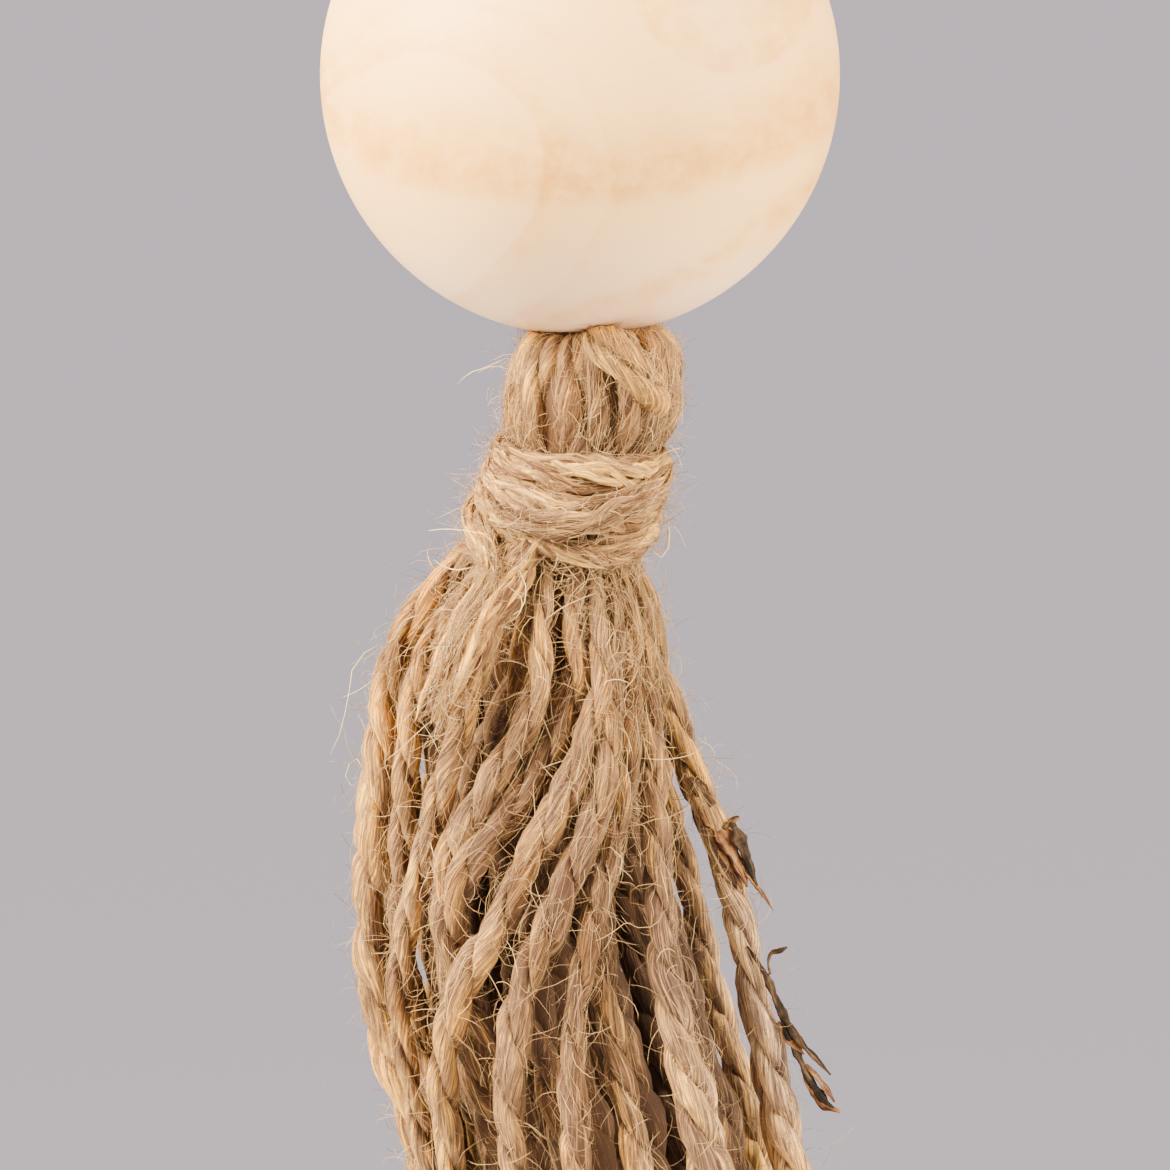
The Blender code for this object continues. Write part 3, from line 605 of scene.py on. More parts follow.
def twine_plies(path, width, phase, rng, lay=TWINE_LAY, sides=13, front=(0.0, -1.0, 0.0)):
    """The two plies of one twine as closed rings (2, rows, sides, 3).

    Each ply's middle winds round the path as an S-laid helix of a fifth of the twine's width.
    A ply is slightly flattened where it meets the other, swells and thins along its length, and
    carries a few ridges that run with its fibres, which lie almost along the twine.
    """
    along = unit(np.gradient(path, axis=0))
    side = unit(np.cross(np.array(front), along))
    forward = np.cross(along, side)
    travelled = arc_length(path)
    lay = lay * rng.uniform(0.85, 1.15) * (1.0 + 0.28 * ripple(travelled, rng, 22.0))
    turned = np.concatenate([[0.0], np.cumsum(np.diff(travelled) / (0.5 * (lay[1:] + lay[:-1])))])
    angle = phase - FULL_TURN * turned
    angle = np.stack([angle, angle + np.pi])
    radial = np.cos(angle)[..., None] * side + np.sin(angle)[..., None] * forward
    scale = width / TWINE_WIDTH
    swell = rng.uniform(0.86, 1.12, (2, 1)) + 0.19 * ripple(travelled[None], rng, 13.0, (2,))
    swell = swell + 0.07 * ripple(travelled[None], rng, 5.0, (2,))
    middle = path[None] + (PLY_OFFSET * scale)[None, :, None] * radial
    turn = turns_round(sides)
    with_fibres = turn + FIBRE_TURN * travelled[None, :, None]
    ridge = np.zeros((2, len(path), sides))
    for count, deep in PLY_RIDGES:
        start = rng.uniform(0.0, FULL_TURN, (2, 1, 1))
        wander = ripple(travelled[None], rng, 12.0, (2,))[..., None]
        ridge += deep * np.cos(count * with_fibres + start + 1.2 * wander)
    reach = (PLY_RADIUS * scale * swell)[..., None] * (1.0 + ridge)
    flattened = 0.96 - 0.10 * np.clip(np.cos(turn), 0.0, 1.0)
    return rings_round(middle, radial, reach * flattened, reach * 1.12)


def with_groove_shade(tone, sides):
    """A tone for each point of plies: the rows' own, less where a ply faces the other (side 0), a painted
    shade in the groove between them.
    """
    facing = np.clip(np.cos(turns_round(sides)), 0.0, 1.0)
    return tone[..., None] - GROOVE_SHADE * facing ** 1.5


# ---------------------------------------------------------------- materials

def linear(colour):
    """An sRGB hex colour as linear red, green, blue and one."""
    values = np.array([int(colour[i:i + 2], 16) for i in (1, 3, 5)]) / 255.0
    values = np.where(values <= 0.04045, values / 12.92, ((values + 0.055) / 1.055) ** 2.4)
    return (*values, 1.0)


def add_node(tree, kind, settings=None, inputs=None):
    """Adds a node; settings are its properties, inputs its values or the sockets that lead in."""
    node = tree.nodes.new(kind)
    for key, value in (settings or {}).items():
        setattr(node, key, value)
    for key, value in (inputs or {}).items():
        if isinstance(value, bpy.types.NodeSocket):
            tree.links.new(value, node.inputs[key])
        else:
            node.inputs[key].default_value = value
    return node


def sum_of(tree, operation, *values):
    """One sum on numbers or sockets."""
    node = add_node(tree, "ShaderNodeMath", {"operation": operation}, dict(enumerate(values)))
    return node.outputs["Value"]


def on_vectors(tree, operation, *values):
    """One sum on vectors; the node, whose output is a vector or a value."""
    return add_node(tree, "ShaderNodeVectorMath", {"operation": operation}, dict(enumerate(values)))


def noise(tree, at, scale, detail, roughness=0.5):
    """Noise in space at a vector; the node, for its Fac or its Color."""
    return add_node(tree, "ShaderNodeTexNoise", {},
                    {"Vector": at, "Scale": scale, "Detail": detail, "Roughness": roughness})


def streaks(tree, often, detail, roughness=0.5, distortion=0.0):
    """Noise on the fibres' UV map; often is how many times it changes in a mm, round and along."""
    uv = add_node(tree, "ShaderNodeUVMap", {"uv_map": "fibre"}).outputs["UV"]
    at = add_node(tree, "ShaderNodeMapping", {}, {"Vector": uv, "Scale": (*often, 1.0)}).outputs["Vector"]
    return add_node(tree, "ShaderNodeTexNoise", {"noise_dimensions": "2D"},
                    {"Vector": at, "Scale": 1.0, "Detail": detail, "Roughness": roughness,
                     "Distortion": distortion}).outputs["Fac"]


def own_tone(tree):
    """The tone that each point of the mesh carries."""
    return add_node(tree, "ShaderNodeAttribute", {"attribute_name": "tone"}).outputs["Fac"]


def ramp(tree, share, stops):
    """A colour read from (place, hex colour) stops at a share."""
    node = add_node(tree, "ShaderNodeValToRGB", {}, {"Fac": share})
    elements = node.color_ramp.elements
    elements.remove(elements[-1])
    for order, (at, colour) in enumerate(stops):
        element = elements.new(at) if order else elements[0]
        element.position = at
        element.color = linear(colour)
    return node.outputs["Color"]


def mix(tree, share, first, second, blend="MIX"):
    """Two colours mixed, the second by its share."""
    return add_node(tree, "ShaderNodeMix", {"data_type": "RGBA", "blend_type": blend},
                    {0: share, 6: first, 7: second}).outputs[2]


def new_material(name, inputs):
    """A node material of one shader with the given inputs: the material, its tree, the shader."""
    material = bpy.data.materials.new(name)
    material.use_nodes = True
    tree = material.node_tree
    tree.nodes.clear()
    shader = add_node(tree, "ShaderNodeBsdfPrincipled", {}, inputs)
    add_node(tree, "ShaderNodeOutputMaterial", {}, {"Surface": shader.outputs["BSDF"]})
    return material, tree, shader


def set_colour_and_bump(tree, shader, colour, height, strength, distance):
    """Leads a colour and a bump of the given height, strength and distance into a shader."""
    tree.links.new(colour, shader.inputs["Base Color"])
    bump = add_node(tree, "ShaderNodeBump", {},
                    {"Height": height, "Strength": strength, "Distance": distance})
    tree.links.new(bump.outputs["Normal"], shader.inputs["Normal"])


def map_range(tree, value, before, after, interpolation="LINEAR"):
    """A value moved from one range to another, and held within it."""
    return add_node(tree, "ShaderNodeMapRange", {"interpolation_type": interpolation},
                    {"Value": value, "From Min": before[0], "From Max": before[1],
                     "To Min": after[0], "To Max": after[1]}).outputs["Result"]


def patch(tree, middle, reach, gain):
    """A soft round spot in space: gain near its middle, nothing at its reach in metres."""
    place_of = add_node(tree, "ShaderNodeTexCoord").outputs["Object"]
    far = on_vectors(tree, "DISTANCE", place_of, middle).outputs["Value"]
    return map_range(tree, far, (reach, PATCH_CORE), (0.0, gain), "SMOOTHSTEP")


def jute_material(name, stops):
    """Spun jute: bast fibres laid along the ply, dull with a faint silky sheen.

    Fibres of about 0.1 mm are drawn at 0.2 to 0.3 mm so that they show; they run along the UV
    map's second axis. The place in the colours, from raw brown to bleached straw, is
    2.10 fibres + 0.55 broad streaks + the piece's tone - 0.82; that tone carries painted shade and
    light in places as well as each twine's own tone. A slow change from twine to twine leads from
    ash blond to gold. The upper left of the skirt has kept the most gold, and its right edge is
    painted paler and greyer: painted light, standing in for the light and the backdrop's bounce
    that reach it there.
    """
    material, tree, shader = new_material(name, {
        "Roughness": 0.78, "Specular IOR Level": 0.24, "Sheen Weight": 0.12, "Sheen Roughness": 0.45,
        "Sheen Tint": linear("#FFDDA8")})
    fine = streaks(tree, (4.4, 0.30), 4.0, 0.75, 0.8)
    broad = streaks(tree, (0.9, 0.20), 2.0)
    share = sum_of(tree, "MULTIPLY_ADD", fine, 2.10, own_tone(tree))
    share = sum_of(tree, "MULTIPLY_ADD", broad, 0.55, share)
    share = sum_of(tree, "SUBTRACT", share, 0.82)
    golden = patch(tree, *GOLDEN_PATCH)
    edge_light = patch(tree, *EDGE_LIGHT_PATCH)
    gold = sum_of(tree, "ADD", streaks(tree, (0.31, 0.055), 1.0), golden)
    gold = sum_of(tree, "ADD", gold, edge_light)
    tinted = mix(tree, 1.0, ramp(tree, share, stops), ramp(tree, gold, TINT_STOPS), "MULTIPLY")
    # painted light: paler and greyer at the skirt's right edge
    faded = add_node(tree, "ShaderNodeHueSaturation", {}, {
        "Saturation": sum_of(tree, "MULTIPLY_ADD", edge_light, 0.30, 1.0),
        "Value": sum_of(tree, "MULTIPLY_ADD", edge_light, -0.22, 1.0), "Color": tinted})
    set_colour_and_bump(tree, shader, faded.outputs["Color"], fine, 0.5, 0.0004)
    return material


def hair_material(name):
    """Loose jute fibres: single, pale, a little glossy, coloured by each hair's own tone."""
    material, tree, shader = new_material(name, {"Roughness": 0.5, "Specular IOR Level": 0.5})
    tree.links.new(ramp(tree, own_tone(tree), HAIR_STOPS), shader.inputs["Base Color"])
    return material


def bark_material():
    """Dry retted bark: grey-brown to reddish, matt, streaked along the sliver."""
    material, tree, shader = new_material("dry_bark", {"Roughness": 0.8, "Specular IOR Level": 0.15})
    streak = streaks(tree, (2.6, 0.35), 3.0, 0.7)
    grey, red = (ramp(tree, streak, stops) for stops in (GREY_BARK_STOPS, RED_BARK_STOPS))
    colour = mix(tree, own_tone(tree), grey, red)
    set_colour_and_bump(tree, shader, colour, streak, 0.7, 0.0002)
    return material


def growth_ring(tree, at, across, down, radius, inwards, outwards, strength):
    """How much one ring darkens the wood, and the distance from the ring's middle line.

    The darkening is strength x 0.37 to the power of (off / reach) squared: off is the distance
    less the ring's radius, reach the ring's own fade inwards or outwards.
    """
    x, _, z = screen_point(across, down, 0.0)
    far = on_vectors(tree, "DISTANCE", at, (x + RING_BEND, -RING_BEND, z + RING_BEND)).outputs["Value"]
    off = sum_of(tree, "SUBTRACT", far, radius / PIXELS_PER_MM)
    inner = sum_of(tree, "MULTIPLY", off, -PIXELS_PER_MM / inwards)
    outer = sum_of(tree, "MULTIPLY", off, PIXELS_PER_MM / outwards)
    share = sum_of(tree, "MAXIMUM", inner, outer)
    bell = sum_of(tree, "POWER", 0.37, sum_of(tree, "MULTIPLY", share, share))
    return sum_of(tree, "MULTIPLY", bell, strength), far


def wood_material():
    """Sanded pale wood under a thin satin wax: cream, with soft tan bands of growth.

    Each band is a ring round a line that runs back through the ball, bent by a slow noise and
    mottled by a quick one. Faint streaks follow the widest ring, and slow clouds lie over all.
    Towards the ball's foot the colour turns paler and greyer: painted light, standing in for the cool
    light thrown up from below. The wax gives a broad dim highlight and no mirror.
    """
    material, tree, shader = new_material("waxed_pale_wood", {"Roughness": 0.45, "IOR": 1.45})
    place_of = add_node(tree, "ShaderNodeTexCoord").outputs["Object"]
    in_mm = add_node(tree, "ShaderNodeMapping", {},
                     {"Vector": place_of, "Scale": (1000.0, 330.0, 1000.0)}).outputs["Vector"]
    bend = noise(tree, in_mm, 0.07, 2.0).outputs["Color"]
    bent = on_vectors(tree, "MULTIPLY_ADD", bend, (2.0 * RING_BEND,) * 3, in_mm).outputs["Vector"]
    bent = on_vectors(tree, "MULTIPLY", bent, (1.0, 0.3, 1.0)).outputs["Vector"]
    rings = [growth_ring(tree, bent, *row) for row in WOOD_RINGS]
    total, widest = rings[0]
    for band, _ in rings[1:]:
        total = sum_of(tree, "ADD", total, band)
    mottle = map_range(tree, noise(tree, in_mm, 0.6, 3.0, 0.6).outputs["Fac"], (0.32, 0.68), (0.55, 1.4))
    total = sum_of(tree, "MULTIPLY", total, mottle)
    streak_at = add_node(tree, "ShaderNodeCombineXYZ", {}, {"X": widest}).outputs["Vector"]
    streak = noise(tree, streak_at, 1.1, 3.0, 0.6).outputs["Fac"]
    total = sum_of(tree, "MULTIPLY_ADD", streak, 0.25, total)
    total = sum_of(tree, "MULTIPLY_ADD", noise(tree, in_mm, 0.10, 2.0).outputs["Fac"], 0.35, total)
    height = add_node(tree, "ShaderNodeSeparateXYZ", {}, {"Vector": in_mm}).outputs["Z"]
    # painted light: the colour turns paler and greyer towards the foot
    near_foot = map_range(tree, height, (BEAD_Z - 0.45 * BEAD_RADIUS, DROP_ZERO_Z + 1.0), (0.0, 1.0),
                          "SMOOTHSTEP")
    colour = mix(tree, near_foot, ramp(tree, total, WOOD_STOPS), ramp(tree, total, FOOT_LIGHT_STOPS))
    tree.links.new(colour, shader.inputs["Base Color"])
    return material


# ---------------------------------------------------------------- the skirt

def settle_lengths():
    """Middle points of every cut length at every level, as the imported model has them.

    Two that lie too close push each other apart, those outside the skirt's ellipse come back in,
    and each is eased along its length.
    """
    levels = np.array(LENGTH_LEVELS)
    angle = np.radians([np.interp(levels, ANGLE_DROPS, row[1]) for row in LENGTHS]).T
    spread = np.array([np.interp(levels, SPREAD_DROPS, row[2]) for row in LENGTHS]).T
    twine = read(SKIRT_FORM, 2, levels)
    half_width = read(SKIRT_FORM, 1, levels)
    edge = np.stack([half_width - EDGE_PER_TWINE * twine,
                     SKIRT_DEPTH_SHARE * half_width - EDGE_PER_TWINE * twine], axis=-1)[:, None, :]
    spacing = (SPACING_PER_TWINE * twine)[:, None, None]
    wished = spread[..., None] * edge * np.stack([np.sin(angle), np.cos(angle)], axis=-1)
    middle = wished.copy()
    for settle_round in range(SETTLE_ROUNDS):
        if settle_round < SETTLE_ROUNDS - LAST_ROUNDS:
            eased = middle.copy()
            eased[1:-1] = 0.5 * middle[1:-1] + 0.25 * (middle[:-2] + middle[2:])
            middle = 0.96 * eased + 0.04 * wished
        between = middle[:, :, None, :] - middle[:, None, :, :]
        far = np.linalg.norm(between, axis=-1)
        far += 1e9 * np.eye(len(LENGTHS))
        short = np.clip(spacing - far, 0.0, None)
        middle = middle + 0.45 * np.sum(between / far[..., None] * short[..., None], axis=2)
        reach = np.linalg.norm(middle / edge, axis=-1, keepdims=True)
        middle = middle / np.maximum(reach, 1.0)
    return np.moveaxis(middle, 1, 0)


def spun_like(name, drop):
    """How thick and how pale a cut length is at each drop; those inside the skirt are darker, as painted
    shade.
    """
    if name in SPUN:
        return [np.interp(drop, SPUN_DROPS, values) for values in SPUN[name]]
    thick, paler = SPUN_INSIDE if name.startswith(("inner", "core")) else (1.0, 0.0)
    return np.full(len(drop), thick), np.full(len(drop), paler)


def length_paths():
    """Smooth world paths of the cut lengths by name, with the twine's width and paleness along."""
    levels = np.array(LENGTH_LEVELS)
    below = np.clip((levels - TRIM_FROM) / (levels[-1] - TRIM_FROM), 0.0, 1.0)
    paths = {}
    for order, (row, middle) in enumerate(zip(LENGTHS, settle_lengths())):
        name = row[0]
        trim = TRIM_SPREAD * np.sin(2.4 * order + 0.7)
        path = place(levels + trim * below, middle[:, 0], middle[:, 1])
        path[:, 0] += LEANS.get(name, 0.0) * np.exp(-((levels - 45.0) / 12.0) ** 2)
        if name in SWAYS:
            aside, forward = SWAYS[name]
            path[:, 0] += np.interp(levels, SWAY_DROPS, aside)
            path[:, 1] -= np.interp(levels, SWAY_DROPS, forward)
        thick, paler = spun_like(name, levels)
        width = read(SKIRT_FORM, 2, levels) / STRAND_TWINE * TWINE_WIDTH * thick
        paths[name] = smooth_path(np.concatenate([path, width[:, None], paler[:, None]], axis=-1), 0.5)
    return paths


def skirt_tone(path, rng):
    """How pale each row of a length's two plies is.

    Each length has its own tone and changes slowly and quickly along its run. It is paler near
    the neck, takes painted shade and light with its place across the skirt, and is darker in the
    skirt's middle, about 43 mm down, as painted shade.
    """
    travelled = arc_length(path[:, :3])[None]
    x, drop = path[:, 0], drop_of(path)
    tone = rng.uniform(0.0, 0.13) + rng.uniform(-0.08, 0.08, (2, 1))
    tone = tone + 0.12 * ripple(travelled, rng, 20.0, (2,)) + 0.05 * ripple(travelled, rng, 7.0, (2,))
    # painted light and shade by the place across the skirt
    tone = tone + path[:, 4] + read(LIGHT_AND_SHADE_ACROSS, 1, x)
    tone = tone + 0.11 * np.clip((38.0 - drop) / 12.0, 0.0, 1.0)
    # painted shade: darker in the skirt's middle, about 43 mm down
    return tone - 0.09 * np.exp(-((drop - 43.0) / 9.0) ** 2 - (x / 9.0) ** 2)


def make_skirt(material, paths):
    """The cut lengths as two-ply twines, in two meshes: those that face front, and the rest.

    Returns the rings of the outer lengths, for loose fibres to start from.
    """
    rng = np.random.default_rng(11)
    groups = {"skirt_front": ([], []), "skirt_back": ([], [])}
    outer = []
    for name, path in paths.items():
        behind = name.startswith(("back", "inner", "core"))
        path = same_rows(path, BACK_ROWS if behind else FRONT_ROWS)
        rings = twine_plies(path[:, :3], path[:, 3], rng.uniform(0.0, FULL_TURN), rng,
                            sides=BACK_SIDES if behind else FRONT_SIDES)
        plies, tones = groups["skirt_back" if behind else "skirt_front"]
        plies.append(rings)
        tones.append(with_groove_shade(skirt_tone(path, rng), rings.shape[2]))
        if not name.startswith(("core", "inner")):
            outer.append(rings)
    for group, (plies, tones) in groups.items():
        tube_mesh(group, np.concatenate(plies), np.concatenate(tones), material, FIBRE_SHEAR)
    return outer


# ---------------------------------------------------------------- the head

def fold_path(fold, rng):
    """One fold's middle line, from under the ball over the shoulder and down into the neck."""
    angle = FULL_TURN * (fold + 0.5 * rng.uniform(-0.35, 0.35)) / HEAD_TWINES
    drop = np.array(FOLD_DROPS)
    outline = np.maximum(read(HEAD_FORM, 1, drop), 5.0)
    radius = outline - 0.5 * HEAD_TWINE - 0.15 + rng.uniform(-0.45, 0.35)
    radius[:3] = FOLD_START_RADII
    radius[-4:] -= 0.6
    sway = angle + np.radians(rng.uniform(-4.0, 4.0)) * np.sin(drop / 4.0)
    return smooth_path(place_round(drop + 0.25 * (drop < 2.0), radius, sway), 0.45), angle


def make_head(material, dark_material):
    """The folded twines round the head, over a core painted dark as shade, and one that crosses upper right.

    Each fold's outer face lies on the head's outline; it is darker towards the neck, as painted
    shade above the binding, and darker in the middle of the front.
    """
    rng = np.random.default_rng(23)
    plies, tones = [], []
    for fold in range(HEAD_TWINES):
        path, angle = fold_path(fold, rng)
        plies.append(twine_plies(path, np.full(len(path), HEAD_TWINE), rng.uniform(0.0, 6.3), rng, FOLD_LAY,
                                 front=outward_at(angle)))
        tone = rng.uniform(-0.02, 0.30) + 0.10 * ripple(arc_length(path)[None], rng, 9.0, (2,))
        # painted shade: darker towards the neck, above the binding
        tone = tone - 0.24 * np.clip((drop_of(path) - 3.5) / 5.0, 0.0, 1.0)
        tones.append(tone - 0.10 * (np.abs(path[:, 0] - 1.5) < 3.5))
    crossing = smooth_path(np.array([screen_point(*row) for row in CROSSING_FOLD]), 0.45)
    width = 3.1 - 0.9 * np.linspace(0.0, 1.0, len(crossing)) ** 4
    plies.append(twine_plies(crossing, width, 1.0, rng, 30.0))
    tones.append(0.20 + 0.05 * ripple(arc_length(crossing)[None], rng, 15.0, (2,)))
    rings = under_ball(np.concatenate([resample_rows(ply, HEAD_ROWS) for ply in plies]), 0.05)
    tones = np.concatenate([resample_rows(tone, HEAD_ROWS) for tone in tones])
    tube_mesh("head_folds", rings, with_groove_shade(tones, rings.shape[2]), material, FIBRE_SHEAR)
    make_head_core(dark_material)
    return rings


def make_head_core(material):
    """What shows in the grooves between the folds: a closed dark form a little way in, painted dark to stand
    in for the shadow there.
    """
    drop, radius = column(HEAD_CORE, 0)[:, None], column(HEAD_CORE, 1)[:, None]
    turn = turns_round(24)
    rings = under_ball(place_round(drop + 0.0 * turn, radius, turn), 0.3)
    tube_mesh("head_core", rings[None, :, ::-1], np.full((1, len(drop)), 0.45), material)


# ---------------------------------------------------------------- the binding

def binding_route():
    """Middle points of the binding and its loose end, with angle and half width along them."""
    turns = np.arange(WRAP_START_TURN, WRAP_END_TURN, 1.0 / WRAP_STEPS_PER_TURN)
    angle = FULL_TURN * turns
    lift = (WRAP_LIFT[0] + WRAP_LIFT[1] * np.maximum(turns, 0.0)) * np.clip(np.sin(angle), 0.0, 1.0) ** 2
    drop = WRAP_FIRST_DROP + WRAP_PITCH * turns - lift
    radius = neck_radius(drop) + WRAP_HALF_THICK
    half = np.full(len(turns), WRAP_MOST_HALF_HIGH)
    loose_drop, loose_angle, clear, loose_half = (column(LOOSE_END, index) for index in range(4))
    loose_radius = read(SKIRT_FORM, 1, loose_drop) + GAP + WRAP_HALF_THICK + clear
    drop = np.concatenate([drop, loose_drop])
    angle = np.concatenate([angle, np.radians(loose_angle) + FULL_TURN * 3.0])
    radius = np.concatenate([radius, loose_radius])
    half = np.concatenate([half, loose_half])
    path = place_round(drop, radius, angle)
    return smooth_path(np.concatenate([path, angle[:, None], half[:, None]], axis=-1), 0.80)


def lock_strands(path, angle, half, thick, count, twist, rng, ends_before=(0.0, 1.0)):
    """A flat lock of fibre as thin strands that wind slowly round one another.

    Each strand keeps a place in the lock's ellipse and turns about its middle once in twist mm.
    Its thickness is LOCK_FINE over the root of the count, and it thins to nothing at its own
    distance before the far end. Also returns how near each strand lies to the lock's edges, 0 to 1.
    """
    sides = 6
    travelled = arc_length(path)
    along = unit(np.gradient(path, axis=0))
    outward = square_to(outward_at(angle), along)
    edgeways = np.cross(along, outward)
    rings, edges = [], []
    for strand in range(count):
        place_in = STRAND_PLACES[strand % 4 > 0]
        wound = FULL_TURN * strand / count + FULL_TURN * travelled / twist
        wound = wound + 0.9 * ripple(travelled, rng, 16.0)
        away = place_in * (1.0 + 0.3 * ripple(travelled, rng, 9.0))
        middle = (path + (away * thick * np.cos(wound))[:, None] * outward
                  + (away * half * np.sin(wound))[:, None] * edgeways)
        size = LOCK_FINE / np.sqrt(count) * (1.0 + 0.25 * ripple(travelled, rng, 14.0))
        left_to_run = travelled[-1] - travelled - rng.uniform(*ends_before)
        size = size * np.clip(left_to_run / 5.0, 0.03, 1.0) ** 0.6
        flat = np.ones((len(path), sides)) * (size * thick / WRAP_HALF_THICK)[:, None]
        wide = np.ones((len(path), sides)) * (size * half / STRAND_HALF_HIGH)[:, None]
        rings.append(rings_round(middle[None], outward[None], flat[None], wide[None])[0])
        edges.append(np.abs(np.sin(wound)) if place_in > 0.5 else 0.6 + 0.0 * wound)
    return np.array(rings), np.array(edges)


def loose_lock(rng):
    """The loose end's fibres, side by side, from under the lowest wrap down, and their tone.

    Each keeps its lane across the lock but wanders in it, lies on the skirt's outline, and thins to
    nothing at its own place near the end.
    """
    sides = 5
    each = (LOCK_FIBRES, 1)
    at = np.linspace(0.0, 1.0, len(LOOSE_LOCK))
    share = rng.uniform(0.70, 1.0, each) ** 0.7 * np.linspace(0.0, 1.0, LOCK_ROWS)
    across, down, half = (np.interp(share, at, column(LOOSE_LOCK, index)) for index in range(3))
    lane = rng.uniform(-1.0, 1.0, each) + 0.30 * ripple(12.0 * share, rng, 9.0, (LOCK_FIBRES,))
    drop = (down - BEAD_LOWEST_DOWN) / PIXELS_PER_MM
    x = (across + lane * half - BEAD_MIDDLE_ACROSS) / PIXELS_PER_MM
    beside = x - read(AXIS_FORM, 1, drop)
    tilted = read(TILT_FORM, 1, drop) * (TILT_SIDE * beside + TILT_FRONT * read(SKIRT_FORM, 1, drop))
    layer = GAP + rng.uniform(0.35, 1.25, each) * np.clip(1.15 - lane ** 2, 0.2, 1.0)
    radius = read(SKIRT_FORM, 1, drop - tilted) + layer
    front = np.sqrt(np.maximum(radius ** 2 - beside ** 2, 1.0))
    path = np.stack([x, -front, DROP_ZERO_Z - drop], axis=-1)
    outward = np.stack([beside, -front, 0.0 * front], axis=-1)
    size = rng.uniform(0.13, 0.30, each) * np.clip(8.0 * (1.0 - np.linspace(0.0, 1.0, LOCK_ROWS)), 0.05, 1.0)
    reach = np.repeat(size[..., None], sides, axis=-1)
    tone = rng.uniform(-0.46, 0.44, each) * np.ones(LOCK_ROWS)
    return rings_round(path, outward, 0.7 * reach, 1.3 * reach), tone


def painted_groove_shade(strands):
    """How much painted shade the grooves put on each ring of the strands at the front of the binding.

    The share of a groove's darkness is e to the power of -(distance squared / GROOVE_FADE), with the
    distance in mm from the ring's middle to the groove's line as it is seen from the front.
    """
    middle = strands.mean(axis=2)
    total = np.zeros(middle.shape[:2])
    for start, stop, depth in WRAP_GROOVE_SHADES:
        start, stop = np.array(screen_point(*start, 0.0)), np.array(screen_point(*stop, 0.0))
        share = np.clip((middle - start) @ (stop - start) / np.sum((stop - start) ** 2), 0.0, 1.0)
        off = (middle - start - share[..., None] * (stop - start))[..., ::2]
        total += depth * np.exp(-np.sum(off ** 2, axis=-1) / GROOVE_FADE) * (middle[..., 1] < GROOVE_FRONT_Y)
    return total


def wrap_strands(rng):
    """The wraps round the neck, drawn in where the loose end leaves them, and their tone, with painted shade
    at their edges and in the grooves between them.
    """
    route = binding_route()
    path, angle, half = route[:, :3], route[:, 3], route[:, 4]
    thick = np.minimum(WRAP_HALF_THICK, half)
    half = half * (1.0 - 0.38 * np.exp(-((angle - 4.0 * np.pi + 0.10) / 0.50) ** 4))
    wraps, edges = lock_strands(path, angle, half, 0.85 * thick, WRAP_STRANDS, WRAP_TWIST, rng, WRAP_ENDS)
    tone = (0.08 * ripple(arc_length(path)[None], rng, 25.0, (WRAP_STRANDS,))
            + rng.uniform(-0.12, 0.26, (WRAP_STRANDS, 1)))
    # painted shade: strands at a wrap's upper and lower edges, where the wraps meet, are darker
    tone = tone - 0.40 * edges ** 4 + 0.10 * np.exp(-(angle / 1.3) ** 2) + 0.08 * (angle > 4.4 * np.pi)
    return wraps, tone - painted_groove_shade(wraps)


def crossing_strands(rng):
    """The wrap that crosses the others at the front, rising to the right, and its tone, with painted shade
    at its edges and in the grooves.
    """
    share = np.linspace(0.0, 1.0, CROSSING_ROWS)
    angle = FULL_TURN * np.linspace(*CROSSING_TURNS, CROSSING_ROWS)
    drop = CROSSING_DROP - CROSSING_RISE * share
    bow = 1.95 * np.sin(np.pi * share) ** 0.5 - 1.0
    path = place_round(drop, neck_radius(drop) + GAP + WRAP_HALF_THICK + bow, angle)
    half = 0.35 + 0.95 * np.sin(np.pi * share)
    thick = np.full(CROSSING_ROWS, CROSSING_THICK)
    cross, edges = lock_strands(path, angle, half, thick, CROSSING_STRANDS, CROSSING_TWIST, rng)
    # painted shade: strands at the crossing wrap's edges are darker
    tone = rng.uniform(-0.06, 0.20, (CROSSING_STRANDS, 1)) - 0.4 * edges ** 4
    return cross, tone - painted_groove_shade(cross)


def make_binding(material):
    """The loose end's lock, the wraps and the wrap that crosses them, one mesh each."""
    rng = np.random.default_rng(37)
    wraps, end, cross = wrap_strands(rng), loose_lock(rng), crossing_strands(rng)
    for name, (rings, tone) in (("binding_loose_end", end), ("binding_wraps", wraps),
                                ("binding_crossing", cross)):
        tube_mesh(name, rings, tone, material, LOCK_SHEAR)
    return wraps[0], cross[0], end[0]


# ---------------------------------------------------------------- the tie

def twine_tubes(path, width, phase, rng, lay):
    """A twine of the tie as plies of even rows."""
    return resample_rows(twine_plies(path, np.full(len(path), width), phase, rng, lay, TIE_SIDES), TIE_ROWS)


